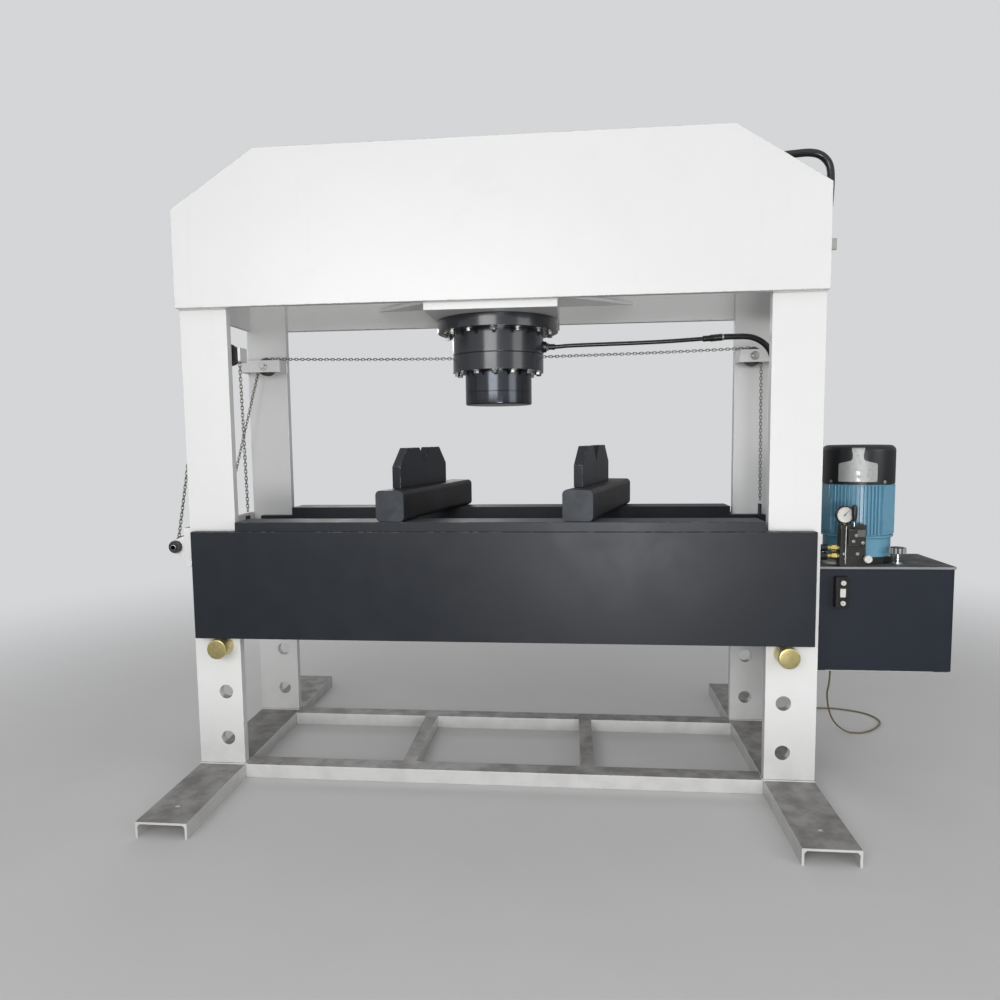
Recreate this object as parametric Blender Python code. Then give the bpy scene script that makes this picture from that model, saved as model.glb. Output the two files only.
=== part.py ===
"""Four-column workshop hydraulic press, modelled in metres with +Z up.

+X runs across the press to the operator's right, where the power pack hangs, and +Y runs from the front
of the press to its back. The sizes below are measured from the press's own middle and from the front faces
of its front columns. The model's origin is on the floor under the middle of the whole machine.
"""

import math

import bmesh
import bpy
from mathutils import Matrix, Vector

GAP = 0.0003  # between faces that touch

# Columns: four flat bars, two at the front and two at the back
COLUMN_SPAN = 3.224  # outer edge to outer edge
COLUMN_WIDTH = 0.250
COLUMN_THICKNESS = 0.045
COLUMN_PITCH = 0.794  # front faces of the front and rear pairs
COLUMN_TOP = 2.950

# Base: two inverted channels with beams between them
FOOT_HEIGHT = 0.076
FOOT_WALL = 0.011
FOOT_OVERHANG = 0.616  # past the columns, at each end
ANCHOR_HOLE = 0.024
ANCHOR_INSET = 0.146  # from the foot's end
BASE_BEAM_DEPTH = 0.100
BASE_CROSS_X = 0.480
BASE_CROSS_WIDTH = 0.075

# Crown: two shouldered plates outside the columns, with a box for the cylinder between them
CROWN_BOTTOM = 2.498
CROWN_SHOULDER = 2.988
CROWN_TOP = 3.270
CROWN_TOP_HALF = 1.170
CROWN_PLATE = 0.040
CROWN_OVERHANG = 0.003  # past the columns' outer edges
CROWN_END_PLATE = 0.025
MOUNT_WIDTH = 0.670
MOUNT_PLATE = 0.040
MOUNT_BOTTOM = 2.460
MOUNT_WEB = 0.030
MOUNT_WEB_TOP = 3.120
GUSSET_LEG_X = 0.440
GUSSET_LEG_Y = 0.330
GUSSET_THICKNESS = 0.020
GUSSET_Z = 2.600

# Bed: two beams, each of an outer and an inner plate that straddle the columns, and a flat on top
BED_OUTER_BOTTOM = 0.785
BED_PLATE_TOP = 1.350
BED_PLATE = 0.050
BED_CLEARANCE = 0.015  # between the plates and the columns
BED_OUTER_HALF = 1.577
BED_INNER_HALF = 1.540
BED_FLAT = 0.050
BED_FLAT_END_GAP = 0.027  # between each end of the flats and the columns beside it
BED_FLAT_HALF = COLUMN_SPAN / 2 - COLUMN_WIDTH - BED_FLAT_END_GAP
BED_TIE_X = 1.020
BED_TIE_WIDTH = 0.120
BED_TIE_HEIGHT = 0.060
BED_TIE_BOTTOM = 0.880

# Support pins in the columns' holes
PIN_LEVEL = 0.732
HOLE_PITCH = 0.2555
HOLES_BELOW = 2
HOLES_ABOVE = 1
HOLE_INSET = 0.160  # from the column's outer edge
HOLE_DIAMETER = 0.075
PIN_SHAFT = 0.073
PIN_HEAD = 0.105
PIN_HEAD_LENGTH = 0.090
PIN_END_PAST_BED = 0.015

# Bars and V plates that lie loose on the bed
BAR_SIZE = 0.158
BAR_LENGTH = 1.000
BAR_CORNER = 0.025
LEFT_BAR_X = -0.520  # middle of its front end
LEFT_BAR_SKEW = math.radians(12.5)
RIGHT_BAR_X = 0.430
RIGHT_BAR_SKEW = math.radians(15.0)
V_THICKNESS = 0.048
V_LENGTH = 0.640
V_HEIGHT = 0.212
V_SHOULDER = 0.115
V_TOP_LENGTH = 0.440
V_NOTCH_WIDTH = 0.130
V_NOTCH_DEPTH = 0.085
V_FRONT_SETBACK = 0.170  # from the bar's front end
V_SIDE_OFFSET = 0.040  # from the bar's middle towards the left

# Cylinder and ram
FLANGE_RADIUS = 0.332
FLANGE_THICKNESS = 0.069
BARREL_RADIUS = 0.250
BORE_RADIUS = 0.205
BARREL_BOTTOM = 2.270
BARREL_TOP = 3.110
BARREL_CAP = 0.060
GLAND_BOTTOM = 2.178
RAM_RADIUS = 0.1835
RAM_BOTTOM = 2.000
RAM_GROOVE_Z = 2.070
RAM_GROOVE = 0.002
PISTON_TOP = 3.030
PISTON_LENGTH = 0.110
CYLINDER_SIDES = 40
BOLT_COUNT = 14
FLANGE_BOLT_CIRCLE = 0.292
GLAND_BOLT_CIRCLE = 0.228
BOLT_ACROSS_FLATS = 0.030
BOLT_HEAD_HEIGHT = 0.019

# Lifting gear
CHAIN_WIDTH = 0.019
SHEAVE_Z = 2.270
SHEAVE_CORE = 0.040
SHEAVE_RIM = 0.054
SHEAVE_WIDTH = 0.036
SHEAVE_PIN = 0.020
SHEAVE_BOSS = 0.019  # radius of the boss round each pin
SHEAVE_WASHER = 0.004
SHEAVE_HEAD = 0.016  # from the bracket's face to the top of the bolt's head
BRACKET_HEIGHT = 0.072
BRACKET_PLATE = 0.010
BRACKET_DEPTH = 0.114  # proud of a rear column
FRONT_BRACKET_DEPTH = 0.100
FRONT_BRACKET_END = 1.320
FRONT_BRACKET_WIDTH = 0.276
FRONT_SHEAVE_X = -1.392
FRONT_SHEAVE_SPACING = 0.111
REAR_LEFT_SHEAVE_X = -1.466
REAR_RIGHT_SHEAVE_X = 1.450
CHAIN_JOINT_DROP = 0.004  # below the sheaves' axes, where the hanging chains begin
CROSS_SAG = 0.025
LUG_THICKNESS = 0.012
LUG_DEPTH = 0.034
LUG_HEIGHT = 0.150
LUG_TOP = 1.415
WINCH_BAR_HEIGHT = 0.209
WINCH_BAR_THICKNESS = 0.035
WINCH_BAR_BOTTOM = 1.154
SHAFT_X = -1.697
SHAFT_Z = 1.262
SHAFT_DIAMETER = 0.025
SPOOL_CORE = 0.025
SPOOL_RIM = 0.048
SPOOL_WIDTH = 0.040
REAR_SPOOL_SETBACK = 0.600  # behind the columns' front faces
BEARING_PLATE = 0.012
BEARING_RADIUS = 0.040
HUB_RADIUS = 0.033
HUB_LENGTH = 0.022

# Power pack, hung on the right columns
TANK_LEFT = 1.630
TANK_WIDTH = 0.715
TANK_DEPTH = 0.420
TANK_HEIGHT = 0.540
TANK_BOTTOM = 0.590
TANK_SETBACK = 0.200  # behind the columns' front faces
TANK_CORNER = 0.014
LID_THICKNESS = 0.006
LID_OVERHANG = 0.006
PACK_PLATE = 0.020
PACK_PLATE_HEIGHT = 0.480
PACK_ARM_WIDTH = 0.040
PACK_ARM_HEIGHT = 0.034
PACK_ARM_REACH = 0.620
PACK_ARM_SPACING = 0.200
MOTOR_X = 1.945
MOTOR_RADIUS = 0.168
MOTOR_BODY_BOTTOM = 1.284
MOTOR_BODY_TOP = 1.553
MOTOR_WALL = 0.020
FIN_HEIGHT = 0.013
FIN_COUNT = 36
PAD_ANGLES = (11.5, 126.9, 191.5, 306.9)  # of the cast flat pads, from +X
PAD_HALF = 0.047
BELL_RADIUS = 0.178
BELL_WAIST = 0.150
BELL_RING = 0.040
COWL_RADIUS = 0.180
COWL_TOP = 1.757
COWL_WALL = 0.004
ROTOR_RADIUS = 0.110
MOTOR_SHAFT = 0.038
FAN_RADIUS = 0.150
FAN_BLADES = 8
MOTOR_SETBACK = 0.445
TERMINAL_BOX_WIDTH = 0.130
TERMINAL_BOX_DEPTH = 0.070
TERMINAL_BOX_BOTTOM = 1.360
TERMINAL_BOX_HEIGHT = 0.120
GLAND_X = 1.915
GLAND_SETBACK = 0.665
GLAND_RADIUS = 0.013
GLAND_LENGTH = 0.026
VALVE_X = 1.842
VALVE_WIDTH = 0.126
VALVE_DEPTH = 0.050
VALVE_HEIGHT = 0.215
VALVE_SETBACK = 0.205
SPOOL_CAP_DEPTH = 0.026
GAUGE_X = 1.803
GAUGE_Z = 1.403
GAUGE_RADIUS = 0.046
GAUGE_DEPTH = 0.034
NEEDLE_ANGLE = 42.0  # clockwise from upright, as the dial is read
LEVER_X = 1.839
LEVER_TOP = 1.458
LEVER_GRIP = 0.027
KNOB_X = 1.907
KNOB_Z = 1.178
KNOB_RADIUS = 0.020
KNOB_LENGTH = 0.034
BREATHER_X = 2.089
BREATHER_SETBACK = 0.270
BREATHER_RADIUS = 0.041
BREATHER_NECK = 0.016
BREATHER_CAP = 0.032
BREATHER_FOOT = 0.026
BREATHER_TOP = 1.227
RETURN_CAP_X = 1.772
RETURN_CAP_SETBACK = 0.312
RETURN_CAP_RADIUS = 0.044
RETURN_CAP_HEIGHT = 0.014
BUTTON_BOX_X = 1.780
BUTTON_BOX_Z = 1.007
BUTTON_BOX_WIDTH = 0.066
BUTTON_BOX_HEIGHT = 0.160
BUTTON_BOX_DEPTH = 0.045
BUTTON_RADIUS = 0.013
BUTTON_RISE = 0.009
BUTTON_SPACING = 0.105

# Supply cable, its coil on the floor behind the press, and its plug
CABLE_DIAMETER = 0.010
COIL_X = 1.950
COIL_SETBACK = 1.270
COIL_TURN_RADIUS = 0.055
COIL_WIDTH = 0.030
COIL_HEIGHT = 0.021
PLUG_RADIUS = 0.026
PLUG_LENGTH = 0.112

# Hydraulic lines
PORT_Z = 2.314
PIPE_DIAMETER = 0.022
PIPE_END_X = 1.150
HOSE_DIAMETER = 0.032
RETURN_HOSE_DIAMETER = 0.038
FITTING_Z = (1.230, 1.187)
FITTING_LEFT = 1.719

# Places worked out from the sizes above
FRONT = 0.0  # front faces of the front columns
REAR = FRONT + COLUMN_PITCH  # front faces of the rear columns
BACK = REAR + COLUMN_THICKNESS  # back faces of the rear columns
MIDDLE_Y = (FRONT + BACK) / 2
COLUMN_OUTER = COLUMN_SPAN / 2
COLUMN_INNER = COLUMN_OUTER - COLUMN_WIDTH
HOLE_X = COLUMN_OUTER - HOLE_INSET
TANK_TOP = TANK_BOTTOM + TANK_HEIGHT
TANK_FRONT = FRONT + TANK_SETBACK
LID_TOP = TANK_TOP + LID_THICKNESS
CHAIN_ON_SHEAVE = SHEAVE_CORE + CHAIN_WIDTH / 2 + 2 * GAP
BED_INNER_BOTTOM = PIN_LEVEL + PIN_SHAFT / 2 + GAP
MOTOR_Y = FRONT + MOTOR_SETBACK
FRONT_SHEAVE_Y = FRONT + COLUMN_THICKNESS + GAP + (FRONT_BRACKET_DEPTH - BRACKET_PLATE) / 2
REAR_SHEAVE_Y = REAR - GAP - (BRACKET_DEPTH - BRACKET_PLATE) / 2
LEFT_END = SHAFT_X - SPOOL_RIM
RIGHT_END = TANK_LEFT + TANK_WIDTH + LID_OVERHANG
MODEL_ORIGIN = Vector(((LEFT_END + RIGHT_END) / 2, MIDDLE_Y, 0.0))


def colour(name, rgb, roughness, metallic=0.0):
    """A plain Principled material."""
    material = bpy.data.materials.get(name) or bpy.data.materials.new(name)
    material.use_nodes = True
    shader = material.node_tree.nodes["Principled BSDF"]
    shader.inputs["Base Color"].default_value = (*rgb, 1.0)
    shader.inputs["Roughness"].default_value = roughness
    shader.inputs["Metallic"].default_value = metallic
    material.diffuse_color = (*rgb, 1.0)
    return material


def materials():
    return {
        "frame": colour("frame_white", (0.80, 0.81, 0.79), 0.45),
        "bed": colour("bed_slate", (0.035, 0.045, 0.060), 0.35),
        "cylinder": colour("cylinder_black", (0.020, 0.024, 0.030), 0.22),
        "ram": colour("ram_chrome", (0.30, 0.32, 0.35), 0.15, 1.0),
        "bar": colour("bar_dark", (0.030, 0.032, 0.036), 0.50),
        "pin": colour("pin_yellow_zinc", (0.60, 0.46, 0.20), 0.30, 1.0),
        "chain": colour("chain_zinc", (0.45, 0.45, 0.43), 0.40, 1.0),
        "dark_steel": colour("dark_steel", (0.030, 0.030, 0.032), 0.45, 0.6),
        "tank": colour("tank_slate", (0.026, 0.034, 0.050), 0.40),
        "motor": colour("motor_teal", (0.080, 0.230, 0.310), 0.40),
        "cowl": colour("cowl_black", (0.012, 0.012, 0.013), 0.40),
        "valve": colour("valve_black", (0.018, 0.019, 0.019), 0.40),
        "chrome": colour("chrome", (0.75, 0.75, 0.76), 0.12, 1.0),
        "dial": colour("dial_white", (0.85, 0.85, 0.84), 0.40),
        "plastic": colour("plastic_black", (0.010, 0.010, 0.010), 0.35),
        "button": colour("button_pale", (0.70, 0.71, 0.70), 0.35),
        "hose": colour("hose_black", (0.008, 0.008, 0.009), 0.25),
        "steel": colour("machined_steel", (0.40, 0.40, 0.40), 0.30, 1.0),
        "cable": colour("cable_olive", (0.17, 0.16, 0.09), 0.55),
    }


def add(name, bm, material, origin=(0.0, 0.0, 0.0), smooth=35.0):
    """Makes an object of a mesh that was built in the press's places; its own origin is the point given."""
    bmesh.ops.remove_doubles(bm, verts=bm.verts, dist=1e-6)
    bmesh.ops.recalc_face_normals(bm, faces=bm.faces)
    bmesh.ops.translate(bm, verts=bm.verts, vec=-Vector(origin))
    mesh = bpy.data.meshes.new(name)
    bm.to_mesh(mesh)
    bm.free()
    mesh.shade_smooth()
    mesh.set_sharp_from_angle(angle=math.radians(smooth))
    mesh.materials.append(material)
    piece = bpy.data.objects.new(name, mesh)
    piece.location = Vector(origin) - MODEL_ORIGIN
    bpy.context.collection.objects.link(piece)
    return piece


def tool_body(name, bm):
    """A hidden solid that shapes another piece."""
    body = add(name, bm, bpy.data.materials["dark_steel"])
    body.hide_render = True
    body.display_type = "WIRE"
    return body


def shape_with(piece, body, operation):
    change = piece.modifiers.new(body.name, "BOOLEAN")
    change.operation = operation
    change.object = body
    change.solver = "EXACT"


def block(low, high, bm=None):
    """A box between two corners."""
    bm = bm or bmesh.new()
    size = Vector(high) - Vector(low)
    middle = (Vector(high) + Vector(low)) / 2
    matrix = Matrix.Translation(middle) @ Matrix.Diagonal((*size, 1.0))
    bmesh.ops.create_cube(bm, size=1.0, matrix=matrix)
    return bm


def soften(bm, width, edges=None, segments=1):
    """Breaks the sharp edges of a mesh, or only the edges given."""
    chosen = edges if edges is not None else [e for e in bm.edges if len(e.link_faces) == 2
                                              and e.calc_face_angle(0.0) > math.radians(40)]
    bmesh.ops.bevel(bm, geom=chosen, offset=width, segments=segments, profile=0.5, affect="EDGES",
                    material=-1, clamp_overlap=True)
    return bm


def plate(outline, holes, thickness, matrix, bm=None):
    """A flat plate: an outline and round holes in its own XY plane, thickened along +Z, then placed."""
    bm = bm or bmesh.new()
    before = set(bm.verts)
    edges = []
    loops = [outline] + [circle(r, 24, centre) for centre, r in holes]
    for loop in loops:
        ring = [bm.verts.new((x, y, 0.0)) for x, y in loop]
        edges += [bm.edges.new((ring[i - 1], ring[i])) for i in range(len(ring))]
    filled = bmesh.ops.triangle_fill(bm, use_beauty=True, edges=edges)
    faces = [g for g in filled["geom"] if isinstance(g, bmesh.types.BMFace)]
    raised = bmesh.ops.extrude_face_region(bm, geom=faces)
    top = [g for g in raised["geom"] if isinstance(g, bmesh.types.BMVert)]
    bmesh.ops.translate(bm, verts=top, vec=(0.0, 0.0, thickness))
    made = [v for v in bm.verts if v not in before]
    bmesh.ops.transform(bm, matrix=matrix, verts=made)
    return bm


def circle(radius, count, centre=(0.0, 0.0), start=0.0):
    return [(centre[0] + radius * math.cos(start + 2 * math.pi * k / count),
             centre[1] + radius * math.sin(start + 2 * math.pi * k / count)) for k in range(count)]


def rounded_rectangle(width, height, radius, steps=4):
    """Its corners are arcs; the middle is at the origin."""
    points = []
    for turn, (sx, sy) in enumerate(((1, 1), (-1, 1), (-1, -1), (1, -1))):
        cx, cy = sx * (width / 2 - radius), sy * (height / 2 - radius)
        for k in range(steps + 1):
            angle = math.pi / 2 * (turn + k / steps)
            points.append((cx + radius * math.cos(angle), cy + radius * math.sin(angle)))
    return points


def turned(profile, centre, axis="Z", segments=40, bm=None):
    """Spins a closed (radius, height) outline about an axis through a point."""
    bm = bm or bmesh.new()
    before = set(bm.verts)
    ring = [bm.verts.new((r, 0.0, h)) for r, h in profile]
    edges = [bm.edges.new((ring[i - 1], ring[i])) for i in range(len(ring))]
    bmesh.ops.spin(bm, geom=ring + edges, cent=(0, 0, 0), axis=(0, 0, 1), angle=2 * math.pi,
                   steps=segments, use_merge=True, use_duplicate=False)
    made = [v for v in bm.verts if v not in before]
    bmesh.ops.remove_doubles(bm, verts=made, dist=1e-6)
    made = [v for v in bm.verts if v not in before]
    turn = {"Z": Matrix.Identity(4), "Y": Matrix.Rotation(-math.pi / 2, 4, "X"),
            "X": Matrix.Rotation(math.pi / 2, 4, "Y")}[axis]
    bmesh.ops.transform(bm, matrix=Matrix.Translation(centre) @ turn, verts=made)
    return bm


def solid_turned(profile, centre, axis="Z", segments=40, bm=None):
    """Turned outline whose first and last points lie on the axis, such as a cap or a knob."""
    bm = bm or bmesh.new()
    before = set(bm.verts)
    line = [bm.verts.new((r, 0.0, h)) for r, h in profile]
    edges = [bm.edges.new((line[i], line[i + 1])) for i in range(len(line) - 1)]
    bmesh.ops.spin(bm, geom=line + edges, cent=(0, 0, 0), axis=(0, 0, 1), angle=2 * math.pi,
                   steps=segments, use_merge=True, use_duplicate=False)
    made = [v for v in bm.verts if v not in before]
    bmesh.ops.remove_doubles(bm, verts=made, dist=1e-6)
    made = [v for v in bm.verts if v not in before]
    turn = {"Z": Matrix.Identity(4), "Y": Matrix.Rotation(-math.pi / 2, 4, "X"),
            "X": Matrix.Rotation(math.pi / 2, 4, "Y")}[axis]
    bmesh.ops.transform(bm, matrix=Matrix.Translation(centre) @ turn, verts=made)
    return bm


def smooth_path(points, spacing, straight=0.004):
    """Points at an even spacing along a smooth curve through the points given, straight at both ends."""
    anchors = [Vector(p) for p in points]
    first = anchors[0] + (anchors[1] - anchors[0]).normalized() * straight
    last = anchors[-1] + (anchors[-2] - anchors[-1]).normalized() * straight
    anchors = [2 * anchors[0] - anchors[1]] + anchors + [2 * anchors[-1] - anchors[-2]]
    fine = []
    for i in range(1, len(anchors) - 2):
        a, b, c, d = anchors[i - 1:i + 3]
        for k in range(24):
            t = k / 24
            fine.append(0.5 * ((2 * b) + (c - a) * t + (2 * a - 5 * b + 4 * c - d) * t * t
                               + (3 * b - a - 3 * c + d) * t * t * t))
    fine.append(anchors[-2])
    even = even_path(fine, spacing)
    return [even[0], first] + even[1:-1] + [last, even[-1]]


def even_path(points, spacing):
    """Points at an even spacing along straight runs."""
    lengths = [0.0]
    for a, b in zip(points, points[1:]):
        lengths.append(lengths[-1] + (b - a).length)
    count = max(2, round(lengths[-1] / spacing))
    found, i = [], 0
    for k in range(count + 1):
        s = lengths[-1] * k / count
        while i < len(points) - 2 and lengths[i + 1] < s:
            i += 1
        t = (s - lengths[i]) / max(lengths[i + 1] - lengths[i], 1e-9)
        found.append(points[i].lerp(points[i + 1], min(1.0, t)))
    return found


def sweep(sections, bm=None):
    """Joins rings of points, one after another, into one closed solid."""
    bm = bm or bmesh.new()
    rings = [[bm.verts.new(p) for p in ring] for ring in sections]
    for a, b in zip(rings, rings[1:]):
        for k in range(len(a)):
            bm.faces.new((a[k - 1], a[k], b[k], b[k - 1]))
    bm.faces.new(rings[0])
    bm.faces.new(list(reversed(rings[-1])))
    return bm


def frames_along(path, side):
    """For each point of a path, the two directions across it; side is kept as level as it can be."""
    frames = []
    across = Vector(side)
    for i, p in enumerate(path):
        along = (path[min(i + 1, len(path) - 1)] - path[max(i - 1, 0)]).normalized()
        across = (across - across.dot(along) * along).normalized()
        frames.append((p, across.copy(), along.cross(across), along))
    return frames


def tube(name, path, radii, material, sides=8, side=(0.0, 1.0, 0.0)):
    """A round pipe or hose along a path, with its own radius at each point."""
    sections = []
    for (p, u, v, _), radius in zip(frames_along(path, side), radii):
        sections.append([p + radius * (math.cos(a) * u + math.sin(a) * v)
                         for a in (2 * math.pi * k / sides for k in range(sides))])
    return add(name, sweep(sections), material)


def chain(name, path, material, side=(0.0, 1.0, 0.0)):
    """The six-sided envelope of a chain's links along a path."""
    sections = []
    radius = CHAIN_WIDTH / 2
    for p, u, v, _ in frames_along(path, side):
        sections.append([p + radius * (math.cos(a) * u + math.sin(a) * v)
                         for a in (2 * math.pi * k / 6 for k in range(6))])
    return add(name, sweep(sections), material)


def arc(centre, radius, start, end, y, steps=10):
    """Points on a circle in a plane across the press; angles from +X towards +Z."""
    return [Vector((centre[0] + radius * math.cos(start + (end - start) * k / steps), y,
                    centre[1] + radius * math.sin(start + (end - start) * k / steps)))
            for k in range(steps + 1)]


def columns(look):
    """Flat bars with the pin holes drilled through them; the rear two carry the crown's end plates."""
    bottom = FOOT_HEIGHT + GAP
    middle = (bottom + COLUMN_TOP) / 2
    levels = [PIN_LEVEL + HOLE_PITCH * k for k in range(-HOLES_BELOW, HOLES_ABOVE + 1)]
    for side, sign in (("left", -1), ("right", 1)):
        for end, y in (("front", FRONT), ("rear", REAR)):
            outline = [(-COLUMN_WIDTH / 2, bottom - middle), (COLUMN_WIDTH / 2, bottom - middle),
                       (COLUMN_WIDTH / 2, COLUMN_TOP - middle), (-COLUMN_WIDTH / 2, COLUMN_TOP - middle)]
            hole_x = sign * (HOLE_X - (COLUMN_OUTER + COLUMN_INNER) / 2)
            holes = [((hole_x, z - middle), HOLE_DIAMETER / 2) for z in levels]
            place = (Matrix.Translation((sign * (COLUMN_OUTER + COLUMN_INNER) / 2, y + COLUMN_THICKNESS,
                                         middle)) @ Matrix.Rotation(math.pi / 2, 4, "X"))
            bm = plate(outline, holes, COLUMN_THICKNESS, place)
            column = add(f"column_{end}_{side}", bm, look["frame"])
            if end == "rear":
                x0, x1 = sorted((sign * (COLUMN_OUTER - CROWN_END_PLATE), sign * COLUMN_OUTER))
                bm = block((x0, FRONT + COLUMN_THICKNESS + GAP, CROWN_BOTTOM),
                           (x1, y + COLUMN_THICKNESS / 2, COLUMN_TOP))
                shape_with(column, tool_body(f"crown_end_{side}", bm), "UNION")


def feet(look):
    """Inverted channels, open underneath and at their ends, with an anchor hole near each end."""
    w, h, t = COLUMN_WIDTH / 2, FOOT_HEIGHT, FOOT_WALL
    front, back = FRONT - FOOT_OVERHANG, BACK + FOOT_OVERHANG
    for side, sign in (("left", -1), ("right", 1)):
        x = sign * (COLUMN_OUTER + COLUMN_INNER) / 2
        profile = [(-w, 0), (-w + t, 0), (-w + t, h - 2 * t), (-w + 2 * t, h - t), (w - 2 * t, h - t),
                   (w - t, h - 2 * t), (w - t, 0), (w, 0), (w, h - 0.002), (w - 0.002, h),
                   (-w + 0.002, h), (-w, h - 0.002)]
        place = Matrix.Translation((x, back, 0)) @ Matrix.Rotation(math.pi / 2, 4, "X")
        foot = add(f"foot_{side}", plate(profile, [], back - front, place), look["frame"])
        bm = bmesh.new()
        for y in (front + ANCHOR_INSET, back - ANCHOR_INSET):
            bmesh.ops.create_cone(bm, cap_ends=True, segments=16, radius1=ANCHOR_HOLE / 2,
                                  radius2=ANCHOR_HOLE / 2, depth=4 * t,
                                  matrix=Matrix.Translation((x, y, h)))
        shape_with(foot, tool_body(f"foot_{side}_holes", bm), "DIFFERENCE")


def base_frame(look):
    """Front and rear beams between the feet, joined by two cross members."""
    half = COLUMN_INNER - GAP
    edges_x = [-half, -BASE_CROSS_X - BASE_CROSS_WIDTH / 2, -BASE_CROSS_X + BASE_CROSS_WIDTH / 2,
               BASE_CROSS_X - BASE_CROSS_WIDTH / 2, BASE_CROSS_X + BASE_CROSS_WIDTH / 2, half]
    front_in, rear_in = FRONT + BASE_BEAM_DEPTH, BACK - BASE_BEAM_DEPTH
    outline = [(-half, FRONT), (half, FRONT), (half, front_in), (edges_x[4], front_in),
               (edges_x[4], rear_in), (half, rear_in), (half, BACK), (-half, BACK), (-half, rear_in),
               (edges_x[1], rear_in), (edges_x[1], front_in), (-half, front_in)]
    bays = [(edges_x[2], front_in), (edges_x[3], front_in), (edges_x[3], rear_in), (edges_x[2], rear_in)]
    bm = bmesh.new()
    edges = []
    for loop in (outline, bays):
        ring = [bm.verts.new((x, y, 0.0)) for x, y in loop]
        edges += [bm.edges.new((ring[i - 1], ring[i])) for i in range(len(ring))]
    filled = bmesh.ops.triangle_fill(bm, use_beauty=True, edges=edges)
    faces = [g for g in filled["geom"] if isinstance(g, bmesh.types.BMFace)]
    raised = bmesh.ops.extrude_face_region(bm, geom=faces)
    top = [g for g in raised["geom"] if isinstance(g, bmesh.types.BMVert)]
    bmesh.ops.translate(bm, verts=top, vec=(0.0, 0.0, FOOT_HEIGHT))
    add("base_frame", bm, look["frame"])


def crown(look):
    """Shouldered front and rear plates."""
    half = COLUMN_OUTER + CROWN_OVERHANG
    outline = [(-half, CROWN_BOTTOM), (half, CROWN_BOTTOM), (half, CROWN_SHOULDER),
               (CROWN_TOP_HALF, CROWN_TOP), (-CROWN_TOP_HALF, CROWN_TOP), (-half, CROWN_SHOULDER)]
    rear_face = BACK + GAP + CROWN_PLATE
    for name, back_face in (("crown_front_plate", FRONT - GAP), ("crown_rear_plate", rear_face)):
        place = Matrix.Translation((0, back_face, 0)) @ Matrix.Rotation(math.pi / 2, 4, "X")
        add(name, plate(outline, [], CROWN_PLATE, place), look["frame"])


def cylinder_mount(look):
    """Bottom plate with the barrel's hole, a web on each side, and corner gussets to the crown plates."""
    half = MOUNT_WIDTH / 2
    front, back = FRONT, BACK
    outline = [(-half, front), (half, front), (half, back), (-half, back)]
    bm = plate(outline, [], MOUNT_PLATE, Matrix.Translation((0, 0, MOUNT_BOTTOM)))
    mount = add("cylinder_mount", bm, look["frame"])
    for side, sign in (("left", -1), ("right", 1)):
        x0, x1 = sorted((sign * (half - MOUNT_WEB), sign * half))
        web = tool_body(f"mount_web_{side}", block((x0, front, MOUNT_BOTTOM + MOUNT_PLATE / 2),
                                                   (x1, back, MOUNT_WEB_TOP)))
        shape_with(mount, web, "UNION")
        root = sign * (half - MOUNT_WEB / 2)
        tip = sign * (half + GUSSET_LEG_X)
        for end, wall, reach in (("front", front, GUSSET_LEG_Y), ("rear", back, -GUSSET_LEG_Y)):
            corners = [(root, wall), (tip, wall), (sign * half, wall + reach), (root, wall + reach)]
            body = tool_body(f"mount_gusset_{end}_{side}",
                             plate(corners, [], GUSSET_THICKNESS, Matrix.Translation((0, 0, GUSSET_Z))))
            shape_with(mount, body, "UNION")
    bm = bmesh.new()
    radius = BARREL_RADIUS + 0.002
    bmesh.ops.create_cone(bm, cap_ends=True, segments=CYLINDER_SIDES, radius1=radius, radius2=radius,
                          depth=6 * MOUNT_PLATE, matrix=Matrix.Translation((0, MIDDLE_Y, MOUNT_BOTTOM)))
    shape_with(mount, tool_body("mount_hole", bm), "DIFFERENCE")


def bolt_heads(circle_radius, top, name):
    """Hexagon heads in a ring, hanging from a face, each let a little into it."""
    bm = bmesh.new()
    radius = BOLT_ACROSS_FLATS / math.sqrt(3)
    sunk = 0.004
    for k in range(BOLT_COUNT):
        angle = -math.pi / 2 + 2 * math.pi * k / BOLT_COUNT
        place = Matrix.Translation((circle_radius * math.cos(angle),
                                    MIDDLE_Y + circle_radius * math.sin(angle),
                                    top + (sunk - BOLT_HEAD_HEIGHT) / 2)) @ Matrix.Rotation(angle, 4, "Z")
        bmesh.ops.create_cone(bm, cap_ends=True, segments=6, radius1=radius * 0.94, radius2=radius,
                              depth=BOLT_HEAD_HEIGHT + sunk, matrix=place)
    return tool_body(name, bm)


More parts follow.
